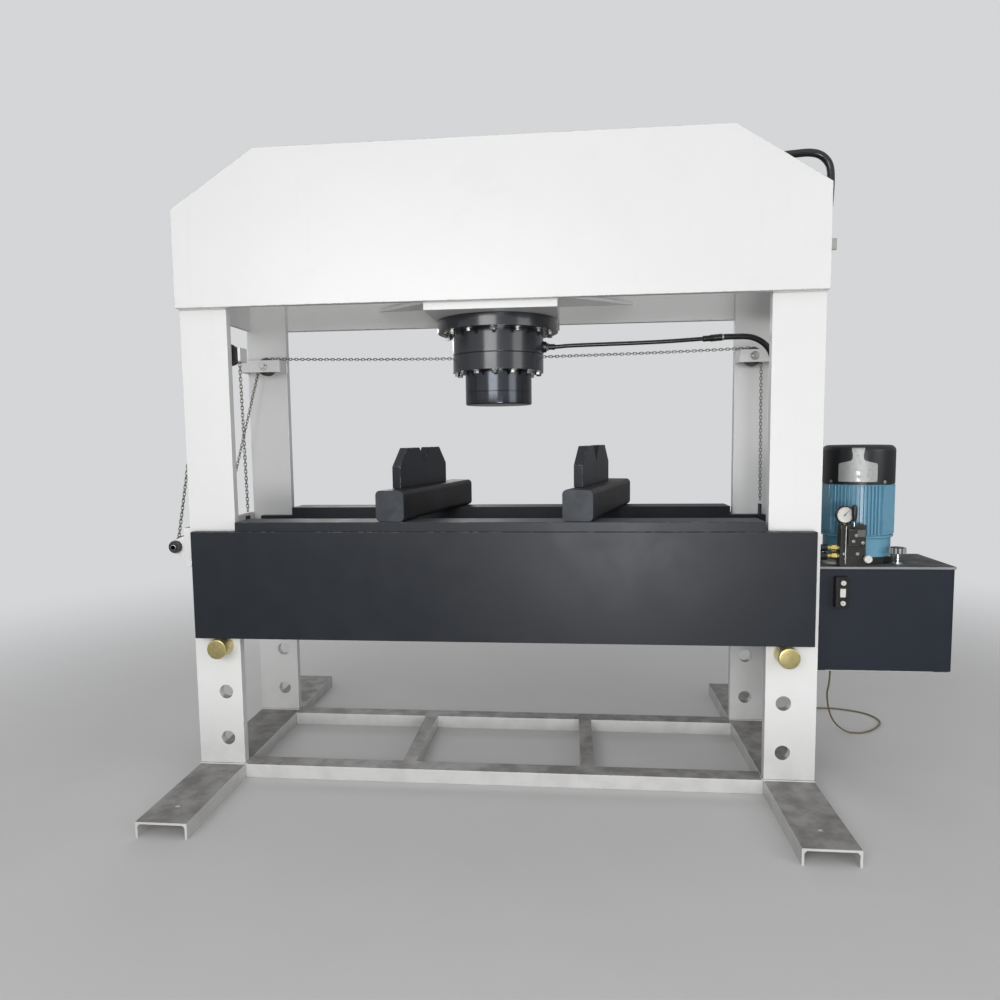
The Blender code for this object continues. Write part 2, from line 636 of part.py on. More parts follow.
def cylinder(look):
    """Closed barrel with a bolted flange round it, the gland below, and the ram with its piston."""
    axis = (0.0, MIDDLE_Y, 0.0)
    flange_top = MOUNT_BOTTOM - GAP
    flange_bottom = flange_top - FLANGE_THICKNESS
    r = BARREL_RADIUS
    barrel = [(0.0, BARREL_TOP - BARREL_CAP), (BORE_RADIUS, BARREL_TOP - BARREL_CAP),
              (BORE_RADIUS, BARREL_BOTTOM), (r, BARREL_BOTTOM), (r, BARREL_TOP - 0.006),
              (r - 0.006, BARREL_TOP), (0.0, BARREL_TOP)]
    piece = add("cylinder_barrel", solid_turned(barrel, axis, segments=CYLINDER_SIDES), look["cylinder"])
    port = tool_body("lower_port", cylinder_between((r - 0.020, MIDDLE_Y, PORT_Z),
                                                    (r + 0.030, MIDDLE_Y, PORT_Z), 0.018))
    shape_with(piece, port, "UNION")

    seat = r + GAP
    flange = [(seat, flange_top), (seat, flange_bottom), (FLANGE_RADIUS - 0.004, flange_bottom),
              (FLANGE_RADIUS, flange_bottom + 0.004), (FLANGE_RADIUS, flange_top)]
    piece = add("cylinder_flange", turned(flange, axis, segments=CYLINDER_SIDES), look["cylinder"])
    shape_with(piece, bolt_heads(FLANGE_BOLT_CIRCLE, flange_bottom, "flange_bolts"), "UNION")

    rod = RAM_RADIUS + GAP
    gland_top = BARREL_BOTTOM - GAP
    gland = [(rod, gland_top), (rod, GLAND_BOTTOM), (r - 0.004, GLAND_BOTTOM), (r, GLAND_BOTTOM + 0.004),
             (r, gland_top)]
    piece = add("cylinder_gland", turned(gland, axis, segments=CYLINDER_SIDES), look["cylinder"])
    shape_with(piece, bolt_heads(GLAND_BOLT_CIRCLE, GLAND_BOTTOM, "gland_bolts"), "UNION")

    piston_bottom = PISTON_TOP - PISTON_LENGTH
    fit, groove = BORE_RADIUS - GAP, RAM_GROOVE
    ram = [(0.0, PISTON_TOP), (fit - 0.004, PISTON_TOP), (fit, PISTON_TOP - 0.004), (fit, piston_bottom),
           (RAM_RADIUS, piston_bottom), (RAM_RADIUS, RAM_GROOVE_Z + groove),
           (RAM_RADIUS - groove, RAM_GROOVE_Z), (RAM_RADIUS, RAM_GROOVE_Z - groove),
           (RAM_RADIUS, RAM_BOTTOM + 0.006), (RAM_RADIUS - 0.006, RAM_BOTTOM), (0.0, RAM_BOTTOM)]
    add("ram", solid_turned(ram, axis, segments=CYLINDER_SIDES), look["ram"],
        origin=(0, MIDDLE_Y, RAM_BOTTOM))


def cylinder_between(a, b, radius, segments=16, bm=None):
    """A round bar from one point to another."""
    a, b = Vector(a), Vector(b)
    bm = bm or bmesh.new()
    turn = Vector((0, 0, 1)).rotation_difference(b - a).to_matrix().to_4x4()
    bmesh.ops.create_cone(bm, cap_ends=True, segments=segments, radius1=radius, radius2=radius,
                          depth=(b - a).length, matrix=Matrix.Translation((a + b) / 2) @ turn)
    return bm


def bed(look):
    """Front and rear beams that straddle the columns and rest on the pins."""
    clear, thick = BED_CLEARANCE, BED_PLATE
    rows = {
        "front": (FRONT - clear - thick, FRONT + COLUMN_THICKNESS + clear),
        "rear": (BACK + clear, REAR - clear - thick),
    }
    for end, (outer_y, inner_y) in rows.items():
        bm = block((-BED_OUTER_HALF, outer_y, BED_OUTER_BOTTOM),
                   (BED_OUTER_HALF, outer_y + thick, BED_PLATE_TOP))
        add(f"bed_{end}_outer_plate", soften(bm, 0.002), look["bed"])
        inner_low = (-BED_INNER_HALF, inner_y, BED_INNER_BOTTOM)
        inner_high = (BED_INNER_HALF, inner_y + thick, BED_PLATE_TOP)
        inner = add(f"bed_{end}_inner_plate", block(inner_low, inner_high), look["bed"])
        low_y = min(outer_y, inner_y)
        high_y = max(outer_y, inner_y) + thick
        flat = block((-BED_FLAT_HALF, low_y, BED_PLATE_TOP + GAP),
                     (BED_FLAT_HALF, high_y, BED_PLATE_TOP + BED_FLAT))
        if end == "front":
            add("bed_front_flat", soften(flat, 0.002), look["bed"])
            lug_x, face, out = -BED_FLAT_HALF - LUG_THICKNESS, inner_y + thick, 1
        else:
            web = block((-BED_FLAT_HALF, inner_y, BED_PLATE_TOP - BED_FLAT / 2),
                        (BED_FLAT_HALF, inner_y + thick, BED_PLATE_TOP + BED_FLAT / 2))
            shape_with(inner, tool_body("bed_rear_flat", flat), "UNION")
            shape_with(inner, tool_body("bed_rear_web", web), "UNION")
            lug_x, face, out = REAR_RIGHT_SHEAVE_X + CHAIN_ON_SHEAVE, inner_y, -1
        y0, y1 = sorted((face - out * 0.004, face + out * LUG_DEPTH))
        lug = block((lug_x - LUG_THICKNESS / 2, y0, LUG_TOP - LUG_HEIGHT),
                    (lug_x + LUG_THICKNESS / 2, y1, LUG_TOP))
        shape_with(inner, tool_body(f"bed_{end}_lug", lug), "UNION")
        if end == "rear":
            tie_front = FRONT + COLUMN_THICKNESS + clear + thick + GAP
            for side, sign in (("left", -1), ("right", 1)):
                x = sign * BED_TIE_X
                tie = block((x - BED_TIE_WIDTH / 2, tie_front, BED_TIE_BOTTOM),
                            (x + BED_TIE_WIDTH / 2, inner_y + thick / 2, BED_TIE_BOTTOM + BED_TIE_HEIGHT))
                shape_with(inner, tool_body(f"bed_tie_{side}", tie), "UNION")


def loose_bars(look):
    """Square bars with round corners laid across the bed at a slant, each with a notched plate on it."""
    bed_top = BED_PLATE_TOP + BED_FLAT
    bar_front = FRONT - BED_CLEARANCE - BED_PLATE
    for side, x, skew in (("left", LEFT_BAR_X, LEFT_BAR_SKEW), ("right", RIGHT_BAR_X, RIGHT_BAR_SKEW)):
        corner_lead = BAR_SIZE / 2 * math.sin(skew)
        turn = Matrix.Translation((x, bar_front + corner_lead, bed_top + GAP))
        turn = turn @ Matrix.Rotation(-skew, 4, "Z")
        square = rounded_rectangle(BAR_SIZE, BAR_SIZE, BAR_CORNER, 3)
        section = [(px, pz + BAR_SIZE / 2) for px, pz in square]
        upright = Matrix.Translation((0, BAR_LENGTH, 0)) @ Matrix.Rotation(math.pi / 2, 4, "X")
        add(f"bar_{side}", plate(section, [], BAR_LENGTH, turn @ upright), look["bar"])

        end, half = V_LENGTH, V_NOTCH_WIDTH / 2
        slope = (V_LENGTH - V_TOP_LENGTH) / 2
        middle = V_LENGTH / 2
        outline = [(0, 0), (end, 0), (end, V_SHOULDER), (end - slope, V_HEIGHT), (middle + half, V_HEIGHT),
                   (middle, V_HEIGHT - V_NOTCH_DEPTH), (middle - half, V_HEIGHT), (slope, V_HEIGHT),
                   (0, V_SHOULDER)]
        stand = (turn @ Matrix.Translation((-V_SIDE_OFFSET, V_FRONT_SETBACK, BAR_SIZE + GAP))
                 @ Matrix.Rotation(math.pi / 2, 4, "Z") @ Matrix.Rotation(math.pi / 2, 4, "X")
                 @ Matrix.Translation((0, 0, -V_THICKNESS / 2)))
        add(f"v_plate_{side}", plate(outline, [], V_THICKNESS, stand), look["bar"])


def support_pins(look):
    """Shouldered pins: the head carries the outer plate and the shaft the inner one."""
    past = BED_CLEARANCE + BED_PLATE + PIN_END_PAST_BED
    for side, sign in (("left", -1), ("right", 1)):
        for end, face, out in (("front", FRONT, -1), ("rear", BACK, 1)):
            head, shaft = PIN_HEAD / 2, PIN_SHAFT / 2
            reach = COLUMN_THICKNESS + past
            profile = [(0.0, -reach), (shaft - 0.004, -reach), (shaft, -reach + 0.004), (shaft, GAP),
                       (head, GAP), (head, PIN_HEAD_LENGTH - 0.004), (head - 0.004, PIN_HEAD_LENGTH),
                       (0.030, PIN_HEAD_LENGTH), (0.027, PIN_HEAD_LENGTH - 0.003),
                       (0.010, PIN_HEAD_LENGTH - 0.003), (0.008, PIN_HEAD_LENGTH - 0.010),
                       (0.0, PIN_HEAD_LENGTH - 0.010)]
            bm = solid_turned([(r, out * h) for r, h in profile], (sign * HOLE_X, face, PIN_LEVEL), "Y", 24)
            add(f"pin_{end}_{side}", bm, look["pin"], origin=(sign * HOLE_X, face, PIN_LEVEL))


def pulley_brackets(look):
    """Folded straps on the columns, each with the bolts that its sheaves turn on."""
    z0, z1 = SHEAVE_Z - BRACKET_HEIGHT / 2, SHEAVE_Z + BRACKET_HEIGHT / 2
    t = BRACKET_PLATE
    rows = (
        ("bracket_front_left", -FRONT_BRACKET_END - FRONT_BRACKET_WIDTH, -FRONT_BRACKET_END,
         FRONT + COLUMN_THICKNESS + GAP, FRONT_BRACKET_DEPTH, 1,
         (FRONT_SHEAVE_X, FRONT_SHEAVE_X - FRONT_SHEAVE_SPACING)),
        ("bracket_rear_left", -COLUMN_OUTER, -COLUMN_INNER, REAR - GAP, BRACKET_DEPTH, -1,
         (REAR_LEFT_SHEAVE_X,)),
        ("bracket_rear_right", COLUMN_INNER, COLUMN_OUTER, REAR - GAP, BRACKET_DEPTH, -1,
         (REAR_RIGHT_SHEAVE_X,)),
    )
    for name, x0, x1, wall, depth, out, bolts in rows:
        far = wall + out * depth
        outline = [(x0, wall), (x0 + t, wall), (x0 + t, far - out * t), (x1 - t, far - out * t),
                   (x1 - t, wall), (x1, wall), (x1, far), (x0, far)]
        bracket = add(name, plate(outline, [], z1 - z0, Matrix.Translation((0, 0, z0))), look["frame"])
        for k, bolt_x in enumerate(bolts):
            bolt = cylinder_between((bolt_x, wall + out * GAP, SHEAVE_Z),
                                    (bolt_x, far + out * 0.002, SHEAVE_Z), SHEAVE_PIN / 2)
            shape_with(bracket, tool_body(f"{name}_bolt_{k}", bolt), "UNION")
            washer = cylinder_between((bolt_x, far - out * 0.002, SHEAVE_Z),
                                      (bolt_x, far + out * SHEAVE_WASHER, SHEAVE_Z), SHEAVE_PIN, 20)
            shape_with(bracket, tool_body(f"{name}_washer_{k}", washer), "UNION")
            head = cylinder_between((bolt_x, far + out * 0.003, SHEAVE_Z),
                                    (bolt_x, far + out * SHEAVE_HEAD, SHEAVE_Z), 0.75 * SHEAVE_PIN, 6)
            shape_with(bracket, tool_body(f"{name}_head_{k}", head), "UNION")


def sheaves(look):
    """Grooved wheels with a hub that fills the space between the bracket and its column."""
    front_space, rear_space = FRONT_BRACKET_DEPTH - BRACKET_PLATE, BRACKET_DEPTH - BRACKET_PLATE
    rows = (
        ("sheave_front_inner", FRONT_SHEAVE_X, FRONT_SHEAVE_Y, front_space),
        ("sheave_front_outer", FRONT_SHEAVE_X - FRONT_SHEAVE_SPACING, FRONT_SHEAVE_Y, front_space),
        ("sheave_rear_left", REAR_LEFT_SHEAVE_X, REAR_SHEAVE_Y, rear_space),
        ("sheave_rear_right", REAR_RIGHT_SHEAVE_X, REAR_SHEAVE_Y, rear_space),
    )
    half, bore, rim = SHEAVE_WIDTH / 2, SHEAVE_PIN / 2 + GAP, 0.005
    for name, x, y, space in rows:
        hub = space / 2 - GAP
        profile = [(bore, -hub), (SHEAVE_BOSS, -hub), (SHEAVE_BOSS, -half), (SHEAVE_RIM, -half),
                   (SHEAVE_RIM, rim - half), (SHEAVE_CORE, rim - half + 0.002),
                   (SHEAVE_CORE, half - rim - 0.002), (SHEAVE_RIM, half - rim), (SHEAVE_RIM, half),
                   (SHEAVE_BOSS, half), (SHEAVE_BOSS, hub), (bore, hub)]
        add(name, turned(profile, (x, y, SHEAVE_Z), "Y", 20), look["dark_steel"],
            origin=(x, y, SHEAVE_Z))


def lifting_chains(look):
    """Hanging chains on the bed's lugs, the run across the back, and the chains to the winding shaft."""
    r = CHAIN_ON_SHEAVE
    hang_top = SHEAVE_Z - CHAIN_JOINT_DROP
    front_lug_y = FRONT + COLUMN_THICKNESS + BED_CLEARANCE + BED_PLATE + LUG_DEPTH / 2
    rear_lug_y = REAR - BED_CLEARANCE - BED_PLATE - LUG_DEPTH / 2
    lug_gap = 0.001
    left_lug_x = -BED_FLAT_HALF - LUG_THICKNESS
    right_lug_x = REAR_RIGHT_SHEAVE_X + r
    chain("chain_left", [Vector((FRONT_SHEAVE_X + r, FRONT_SHEAVE_Y, hang_top)),
                         Vector((left_lug_x, front_lug_y, LUG_TOP + lug_gap))], look["chain"])
    chain("chain_right", [Vector((right_lug_x, REAR_SHEAVE_Y, hang_top)),
                          Vector((right_lug_x, rear_lug_y, LUG_TOP + lug_gap))], look["chain"])

    wound = SPOOL_CORE + CHAIN_WIDTH / 2 + 6 * GAP
    top = SHEAVE_Z + GAP
    outer_x = FRONT_SHEAVE_X - FRONT_SHEAVE_SPACING
    front_run = [Vector((FRONT_SHEAVE_X + r, FRONT_SHEAVE_Y, hang_top + 3 * GAP))]
    front_run += arc((FRONT_SHEAVE_X, top), r, 0.0, math.pi / 2, FRONT_SHEAVE_Y, 6)
    front_run += arc((outer_x, top), r, math.pi / 2, math.pi, FRONT_SHEAVE_Y, 6)
    front_run += arc((SHAFT_X, SHAFT_Z), wound, math.pi, 2.3 * math.pi, FRONT_SHEAVE_Y, 12)
    chain("chain_front", front_run, look["chain"])

    cross = [Vector((REAR_RIGHT_SHEAVE_X + r, REAR_SHEAVE_Y, hang_top + 3 * GAP))]
    cross += arc((REAR_RIGHT_SHEAVE_X, top), r, 0.0, math.pi / 2, REAR_SHEAVE_Y, 6)
    start, end = cross[-1], Vector((REAR_LEFT_SHEAVE_X, REAR_SHEAVE_Y, top + r))
    for k in range(1, 12):
        t = k / 12
        cross.append(start.lerp(end, t) - Vector((0, 0, 4 * t * (1 - t) * CROSS_SAG)))
    cross += arc((REAR_LEFT_SHEAVE_X, top), r, math.pi / 2, math.pi, REAR_SHEAVE_Y, 6)
    cross += arc((SHAFT_X, SHAFT_Z), wound, math.pi, 2.3 * math.pi, FRONT + REAR_SPOOL_SETBACK, 12)
    chain("chain_cross", cross, look["chain"])


def winding_gear(look):
    """A bar on the left columns carries two bearing plates and the shaft with its two chain spools."""
    x1 = -COLUMN_OUTER - GAP
    x0 = x1 - WINCH_BAR_THICKNESS
    z1 = WINCH_BAR_BOTTOM + WINCH_BAR_HEIGHT
    bar = add("winch_bar", block((x0, FRONT, WINCH_BAR_BOTTOM), (x1, BACK, z1)), look["frame"])

    front_y = FRONT + 0.010
    rear_y = FRONT + REAR_SPOOL_SETBACK + SPOOL_WIDTH / 2 + 0.020
    reach = x0 + 0.004 - SHAFT_X
    outline = [(reach, 0.060), (reach, -0.060)]
    outline += [(BEARING_RADIUS * math.cos(math.radians(-90 - 18 * k)),
                 BEARING_RADIUS * math.sin(math.radians(-90 - 18 * k))) for k in range(11)]
    for name, y in (("bearing_front", front_y), ("bearing_rear", rear_y)):
        place = (Matrix.Translation((SHAFT_X, y + BEARING_PLATE, SHAFT_Z))
                 @ Matrix.Rotation(math.pi / 2, 4, "X"))
        hole = [((0.0, 0.0), SHAFT_DIAMETER / 2 + GAP)]
        shape_with(bar, tool_body(name, plate(outline, hole, BEARING_PLATE, place)), "UNION")

    shaft = SHAFT_DIAMETER / 2
    half = SPOOL_WIDTH / 2
    spool_rim = 0.005
    hub_back = front_y - 0.002
    profile = [(0.0, hub_back - HUB_LENGTH - 0.012), (0.013, hub_back - HUB_LENGTH - 0.012),
               (0.015, hub_back - HUB_LENGTH), (HUB_RADIUS - 0.004, hub_back - HUB_LENGTH),
               (HUB_RADIUS, hub_back - HUB_LENGTH + 0.004), (HUB_RADIUS, hub_back), (shaft, hub_back)]
    for y in (FRONT_SHEAVE_Y, FRONT + REAR_SPOOL_SETBACK):
        profile += [(shaft, y - half), (SPOOL_RIM, y - half), (SPOOL_RIM, y - half + spool_rim),
                    (SPOOL_CORE, y - half + spool_rim + 0.002), (SPOOL_CORE, y + half - spool_rim - 0.002),
                    (SPOOL_RIM, y + half - spool_rim), (SPOOL_RIM, y + half), (shaft, y + half)]
    profile += [(shaft, rear_y + BEARING_PLATE + 0.010), (0.0, rear_y + BEARING_PLATE + 0.010)]
    bm = solid_turned(profile, (SHAFT_X, 0.0, SHAFT_Z), "Y", 20)
    add("winding_shaft", bm, look["dark_steel"], origin=(SHAFT_X, FRONT, SHAFT_Z))


def pack_support(look):
    """A plate between the right columns, with two arms under the tank."""
    x1 = TANK_LEFT - GAP
    x0 = COLUMN_OUTER - PACK_PLATE
    z0 = TANK_BOTTOM - PACK_ARM_HEIGHT
    bm = block((x0, FRONT + COLUMN_THICKNESS + GAP, z0), (COLUMN_OUTER, REAR - GAP, z0 + PACK_PLATE_HEIGHT))
    support = add("pack_support", bm, look["frame"])
    pad = block((COLUMN_OUTER - PACK_PLATE / 2, TANK_FRONT + 0.030, z0 + 0.060),
                (x1, TANK_FRONT + TANK_DEPTH - 0.030, z0 + PACK_PLATE_HEIGHT - 0.040))
    shape_with(support, tool_body("pack_pad", pad), "UNION")
    middle = TANK_FRONT + TANK_DEPTH / 2
    for k, y in enumerate((middle - PACK_ARM_SPACING / 2, middle + PACK_ARM_SPACING / 2)):
        arm = block((x0 + PACK_PLATE / 2, y - PACK_ARM_WIDTH / 2, z0),
                    (x1 + PACK_ARM_REACH, y + PACK_ARM_WIDTH / 2, TANK_BOTTOM - GAP))
        shape_with(support, tool_body(f"pack_arm_{k}", arm), "UNION")


def oil_tank(look):
    """Welded tank with a lid that overhangs it a little."""
    x = TANK_LEFT + TANK_WIDTH / 2
    y = TANK_FRONT + TANK_DEPTH / 2
    outline = [(px + x, py + y) for px, py in rounded_rectangle(TANK_WIDTH, TANK_DEPTH, TANK_CORNER, 3)]
    shell = plate(outline, [], TANK_HEIGHT, Matrix.Translation((0, 0, TANK_BOTTOM)))
    tank = add("oil_tank", shell, look["tank"])
    width, depth = TANK_WIDTH + LID_OVERHANG, TANK_DEPTH + 2 * LID_OVERHANG
    lid_outline = rounded_rectangle(width, depth, TANK_CORNER, 3)
    outline = [(px + x + LID_OVERHANG / 2, py + y) for px, py in lid_outline]
    lid = plate(outline, [], 2 * LID_THICKNESS, Matrix.Translation((0, 0, TANK_TOP - LID_THICKNESS)))
    shape_with(tank, tool_body("tank_lid", lid), "UNION")
    r, rise = RETURN_CAP_RADIUS, RETURN_CAP_HEIGHT
    cap = solid_turned([(0.0, -0.003), (r, -0.003), (r, rise - 0.004), (r - 0.005, rise), (0.0, rise)],
                       (RETURN_CAP_X, FRONT + RETURN_CAP_SETBACK, LID_TOP), "Z", 24)
    shape_with(tank, tool_body("return_cap", cap), "UNION")


def motor(look):
    """Flange motor standing on its bell housing, with the fan cowl on top and the rotor inside."""
    axis = (MOTOR_X, MOTOR_Y, 0.0)
    base = LID_TOP + GAP
    bore = MOTOR_RADIUS - MOTOR_WALL
    ring_top = base + BELL_RING
    seat = MOTOR_SHAFT / 2 + 2 * GAP
    bell = [(0.060, base), (BELL_RADIUS - 0.010, base), (BELL_RADIUS - 0.010, ring_top),
            (BELL_WAIST, ring_top + 0.004), (BELL_WAIST, MOTOR_BODY_BOTTOM - 0.045),
            (BELL_RADIUS, MOTOR_BODY_BOTTOM - 0.022), (BELL_RADIUS, MOTOR_BODY_BOTTOM - GAP),
            (seat, MOTOR_BODY_BOTTOM - GAP), (seat, MOTOR_BODY_BOTTOM - 0.018),
            (BELL_WAIST - 0.012, MOTOR_BODY_BOTTOM - 0.018), (BELL_WAIST - 0.012, base + 0.014),
            (0.060, base + 0.014)]
    add("bell_housing", turned(bell, axis, segments=32), look["motor"])

    pad_reach = math.sqrt((MOTOR_RADIUS + FIN_HEIGHT) ** 2 - PAD_HALF ** 2)
    pad_spread = math.degrees(math.atan2(PAD_HALF, pad_reach))
    around = []
    for k in range(FIN_COUNT):
        step = 360.0 / FIN_COUNT
        if min(abs((k + 0.25) * step - pad) for pad in PAD_ANGLES) < pad_spread + 0.4 * step:
            continue
        for offset, radius in ((0.0, 0.0), (0.16, FIN_HEIGHT), (0.34, FIN_HEIGHT), (0.50, 0.0)):
            around.append(((k + offset) * step, MOTOR_RADIUS + radius))
    for pad in PAD_ANGLES:
        for sign in (-1, 1):
            around.append((pad + sign * (pad_spread + 0.5), MOTOR_RADIUS))
            around.append((pad + sign * pad_spread, MOTOR_RADIUS + FIN_HEIGHT))
    finned = [(r * math.cos(math.radians(a)), r * math.sin(math.radians(a))) for a, r in sorted(around)]
    bm = bmesh.new()
    inner = circle(bore, 32)
    edges = []
    for loop in (finned, inner):
        ring = [bm.verts.new((x + MOTOR_X, y + MOTOR_Y, MOTOR_BODY_BOTTOM)) for x, y in loop]
        edges += [bm.edges.new((ring[i - 1], ring[i])) for i in range(len(ring))]
    filled = bmesh.ops.triangle_fill(bm, use_beauty=True, edges=edges)
    faces = [g for g in filled["geom"] if isinstance(g, bmesh.types.BMFace)]
    raised = bmesh.ops.extrude_face_region(bm, geom=faces)
    top = [g for g in raised["geom"] if isinstance(g, bmesh.types.BMVert)]
    bmesh.ops.translate(bm, verts=top, vec=(0, 0, MOTOR_BODY_TOP - GAP - MOTOR_BODY_BOTTOM))
    body = add("motor_body", bm, look["motor"])
    wall_y = MOTOR_Y + MOTOR_RADIUS - MOTOR_WALL / 2
    box_back = MOTOR_Y + MOTOR_RADIUS + TERMINAL_BOX_DEPTH
    box_low, box_top = TERMINAL_BOX_BOTTOM, TERMINAL_BOX_BOTTOM + TERMINAL_BOX_HEIGHT
    box = block((MOTOR_X - TERMINAL_BOX_WIDTH / 2, wall_y, box_low),
                (MOTOR_X + TERMINAL_BOX_WIDTH / 2, box_back, box_top))
    shape_with(body, tool_body("terminal_box", box), "UNION")
    gland_y = FRONT + GLAND_SETBACK
    gland = cylinder_between((GLAND_X, gland_y, box_low + 0.004),
                             (GLAND_X, gland_y, box_low - GLAND_LENGTH), GLAND_RADIUS)
    shape_with(body, tool_body("cable_gland", gland), "UNION")

    low, crown_z = MOTOR_BODY_TOP, COWL_TOP
    r, t = COWL_RADIUS, COWL_WALL
    cowl = [(0.095, crown_z), (r - 0.020, crown_z), (r - 0.006, crown_z - 0.006), (r, crown_z - 0.020),
            (r, low), (r - t, low), (r - t, crown_z - 0.022), (r - 0.024, crown_z - t),
            (0.095, crown_z - t)]
    add("fan_cowl", turned(cowl, axis, segments=36), look["cowl"])

    shaft = MOTOR_SHAFT / 2
    fan_z = MOTOR_BODY_TOP + 0.060
    rotor = [(0.0, base + 0.010), (shaft + 0.022, base + 0.010 + 0.010), (shaft + 0.022, base + 0.080),
             (shaft, base + 0.080), (shaft, MOTOR_BODY_BOTTOM + 0.030),
             (ROTOR_RADIUS, MOTOR_BODY_BOTTOM + 0.030),
             (ROTOR_RADIUS, MOTOR_BODY_TOP - 0.030), (shaft, MOTOR_BODY_TOP - 0.030), (shaft, fan_z),
             (FAN_RADIUS * 0.55, fan_z), (FAN_RADIUS * 0.55, fan_z + 0.008), (shaft, fan_z + 0.020),
             (shaft, fan_z + 0.070), (0.0, fan_z + 0.070)]
    piece = add("motor_rotor", solid_turned(rotor, axis, segments=20), look["steel"],
                origin=(MOTOR_X, MOTOR_Y, fan_z))
    for k in range(FAN_BLADES):
        turn = Matrix.Translation(axis) @ Matrix.Rotation(2 * math.pi * k / FAN_BLADES, 4, "Z")
        blade = block((FAN_RADIUS * 0.40, -0.002, fan_z + 0.002), (FAN_RADIUS, 0.002, fan_z + 0.062))
        bmesh.ops.transform(blade, matrix=turn, verts=blade.verts)
        shape_with(piece, tool_body(f"fan_blade_{k + 1}", blade), "UNION")


def valve_group(look):
    """Manifold block on the lid, with the gauge, the hand lever, the relief knob and the hose unions."""
    front = FRONT + VALVE_SETBACK
    x0, x1 = VALVE_X - VALVE_WIDTH / 2, VALVE_X + VALVE_WIDTH / 2
    base = LID_TOP + GAP
    top = base + VALVE_HEIGHT
    bm = soften(block((x0, front, base), (x1, front + VALVE_DEPTH, top)), 0.003)
    body = add("valve_block", bm, look["valve"])
    y = front + VALVE_DEPTH / 2
    cap_top = top - 0.020
    spool = block((x0 + 0.030, front - SPOOL_CAP_DEPTH, base + 0.110), (x1 - 0.012, front + 0.004, cap_top))
    shape_with(body, tool_body("spool_cap", spool), "UNION")
    stem_end = GAUGE_Z - GAUGE_RADIUS - GAP
    stem = cylinder_between((GAUGE_X, y, top - 0.004), (GAUGE_X, y, stem_end), 0.009, 12)
    shape_with(body, tool_body("gauge_stem", stem), "UNION")
    for k, z in enumerate(FITTING_Z):
        reach = x0 + 0.004 - FITTING_LEFT
        profile = [(0.0, 0.0), (0.012, 0.0), (0.012, 0.012), (0.017, 0.014), (0.017, 0.036), (0.013, 0.038),
                   (0.013, reach), (0.0, reach)]
        union = solid_turned(profile, (FITTING_LEFT, y, z), "X", 12)
        shape_with(body, tool_body(f"hose_union_{k + 1}", union), "UNION")

    gauge_y = y - GAUGE_DEPTH / 2
    r, d = GAUGE_RADIUS, GAUGE_DEPTH
    needle_back = 0.0045
    case = [(0.0, d), (r - 0.004, d), (r, d - 0.004), (r, 0.002), (r - 0.002, 0.0), (r - 0.005, 0.0),
            (r - 0.006, 0.006), (0.004, 0.006), (0.004, needle_back + GAP), (0.0, needle_back + GAP)]
    add("gauge_case", solid_turned(case, (GAUGE_X, gauge_y, GAUGE_Z), "Y", 24), look["chrome"])
    needle = [(-0.0016, -0.010), (0.0016, -0.010), (0.0006, 0.030), (-0.0006, 0.030)]
    pivot = (GAUGE_X, gauge_y + needle_back, GAUGE_Z)
    place = (Matrix.Translation(pivot) @ Matrix.Rotation(math.radians(NEEDLE_ANGLE), 4, "Y")
             @ Matrix.Rotation(math.pi / 2, 4, "X"))
    add("gauge_needle", plate(needle, [], 0.0012, place), look["plastic"], origin=pivot)

    stem_radius = 0.004
    pivot_z = cap_top + GAP + stem_radius
    lever_y = front - SPOOL_CAP_DEPTH / 2
    profile = [(0.0, cap_top + GAP), (0.7 * stem_radius, pivot_z - 0.7 * stem_radius),
               (stem_radius, pivot_z),
               (stem_radius, LEVER_TOP - 0.090), (0.008, LEVER_TOP - 0.088),
               (LEVER_GRIP / 2, LEVER_TOP - 0.060), (LEVER_GRIP / 2, LEVER_TOP - 0.016),
               (LEVER_GRIP / 2 - 0.006, LEVER_TOP - 0.003), (0.0, LEVER_TOP)]
    add("valve_lever", solid_turned(profile, (LEVER_X, lever_y, 0.0), "Z", 14), look["plastic"],
        origin=(LEVER_X, lever_y, pivot_z))

    knob_front = front - GAP - KNOB_LENGTH
    r = KNOB_RADIUS
    knob = [(0.0, 0.0), (r - 0.003, 0.0), (r, 0.003), (r, 0.020), (0.010, 0.022), (0.010, KNOB_LENGTH),
            (0.0, KNOB_LENGTH)]
    add("relief_knob", solid_turned(knob, (KNOB_X, knob_front, KNOB_Z), "Y", 24), look["chrome"],
        origin=(KNOB_X, knob_front, KNOB_Z))
    block_bm = block((x1 - 0.004, front, KNOB_Z - 0.016),
                     (KNOB_X + 0.014, front + VALVE_DEPTH - 0.004, KNOB_Z + 0.016))
    shape_with(body, tool_body("relief_body", block_bm), "UNION")


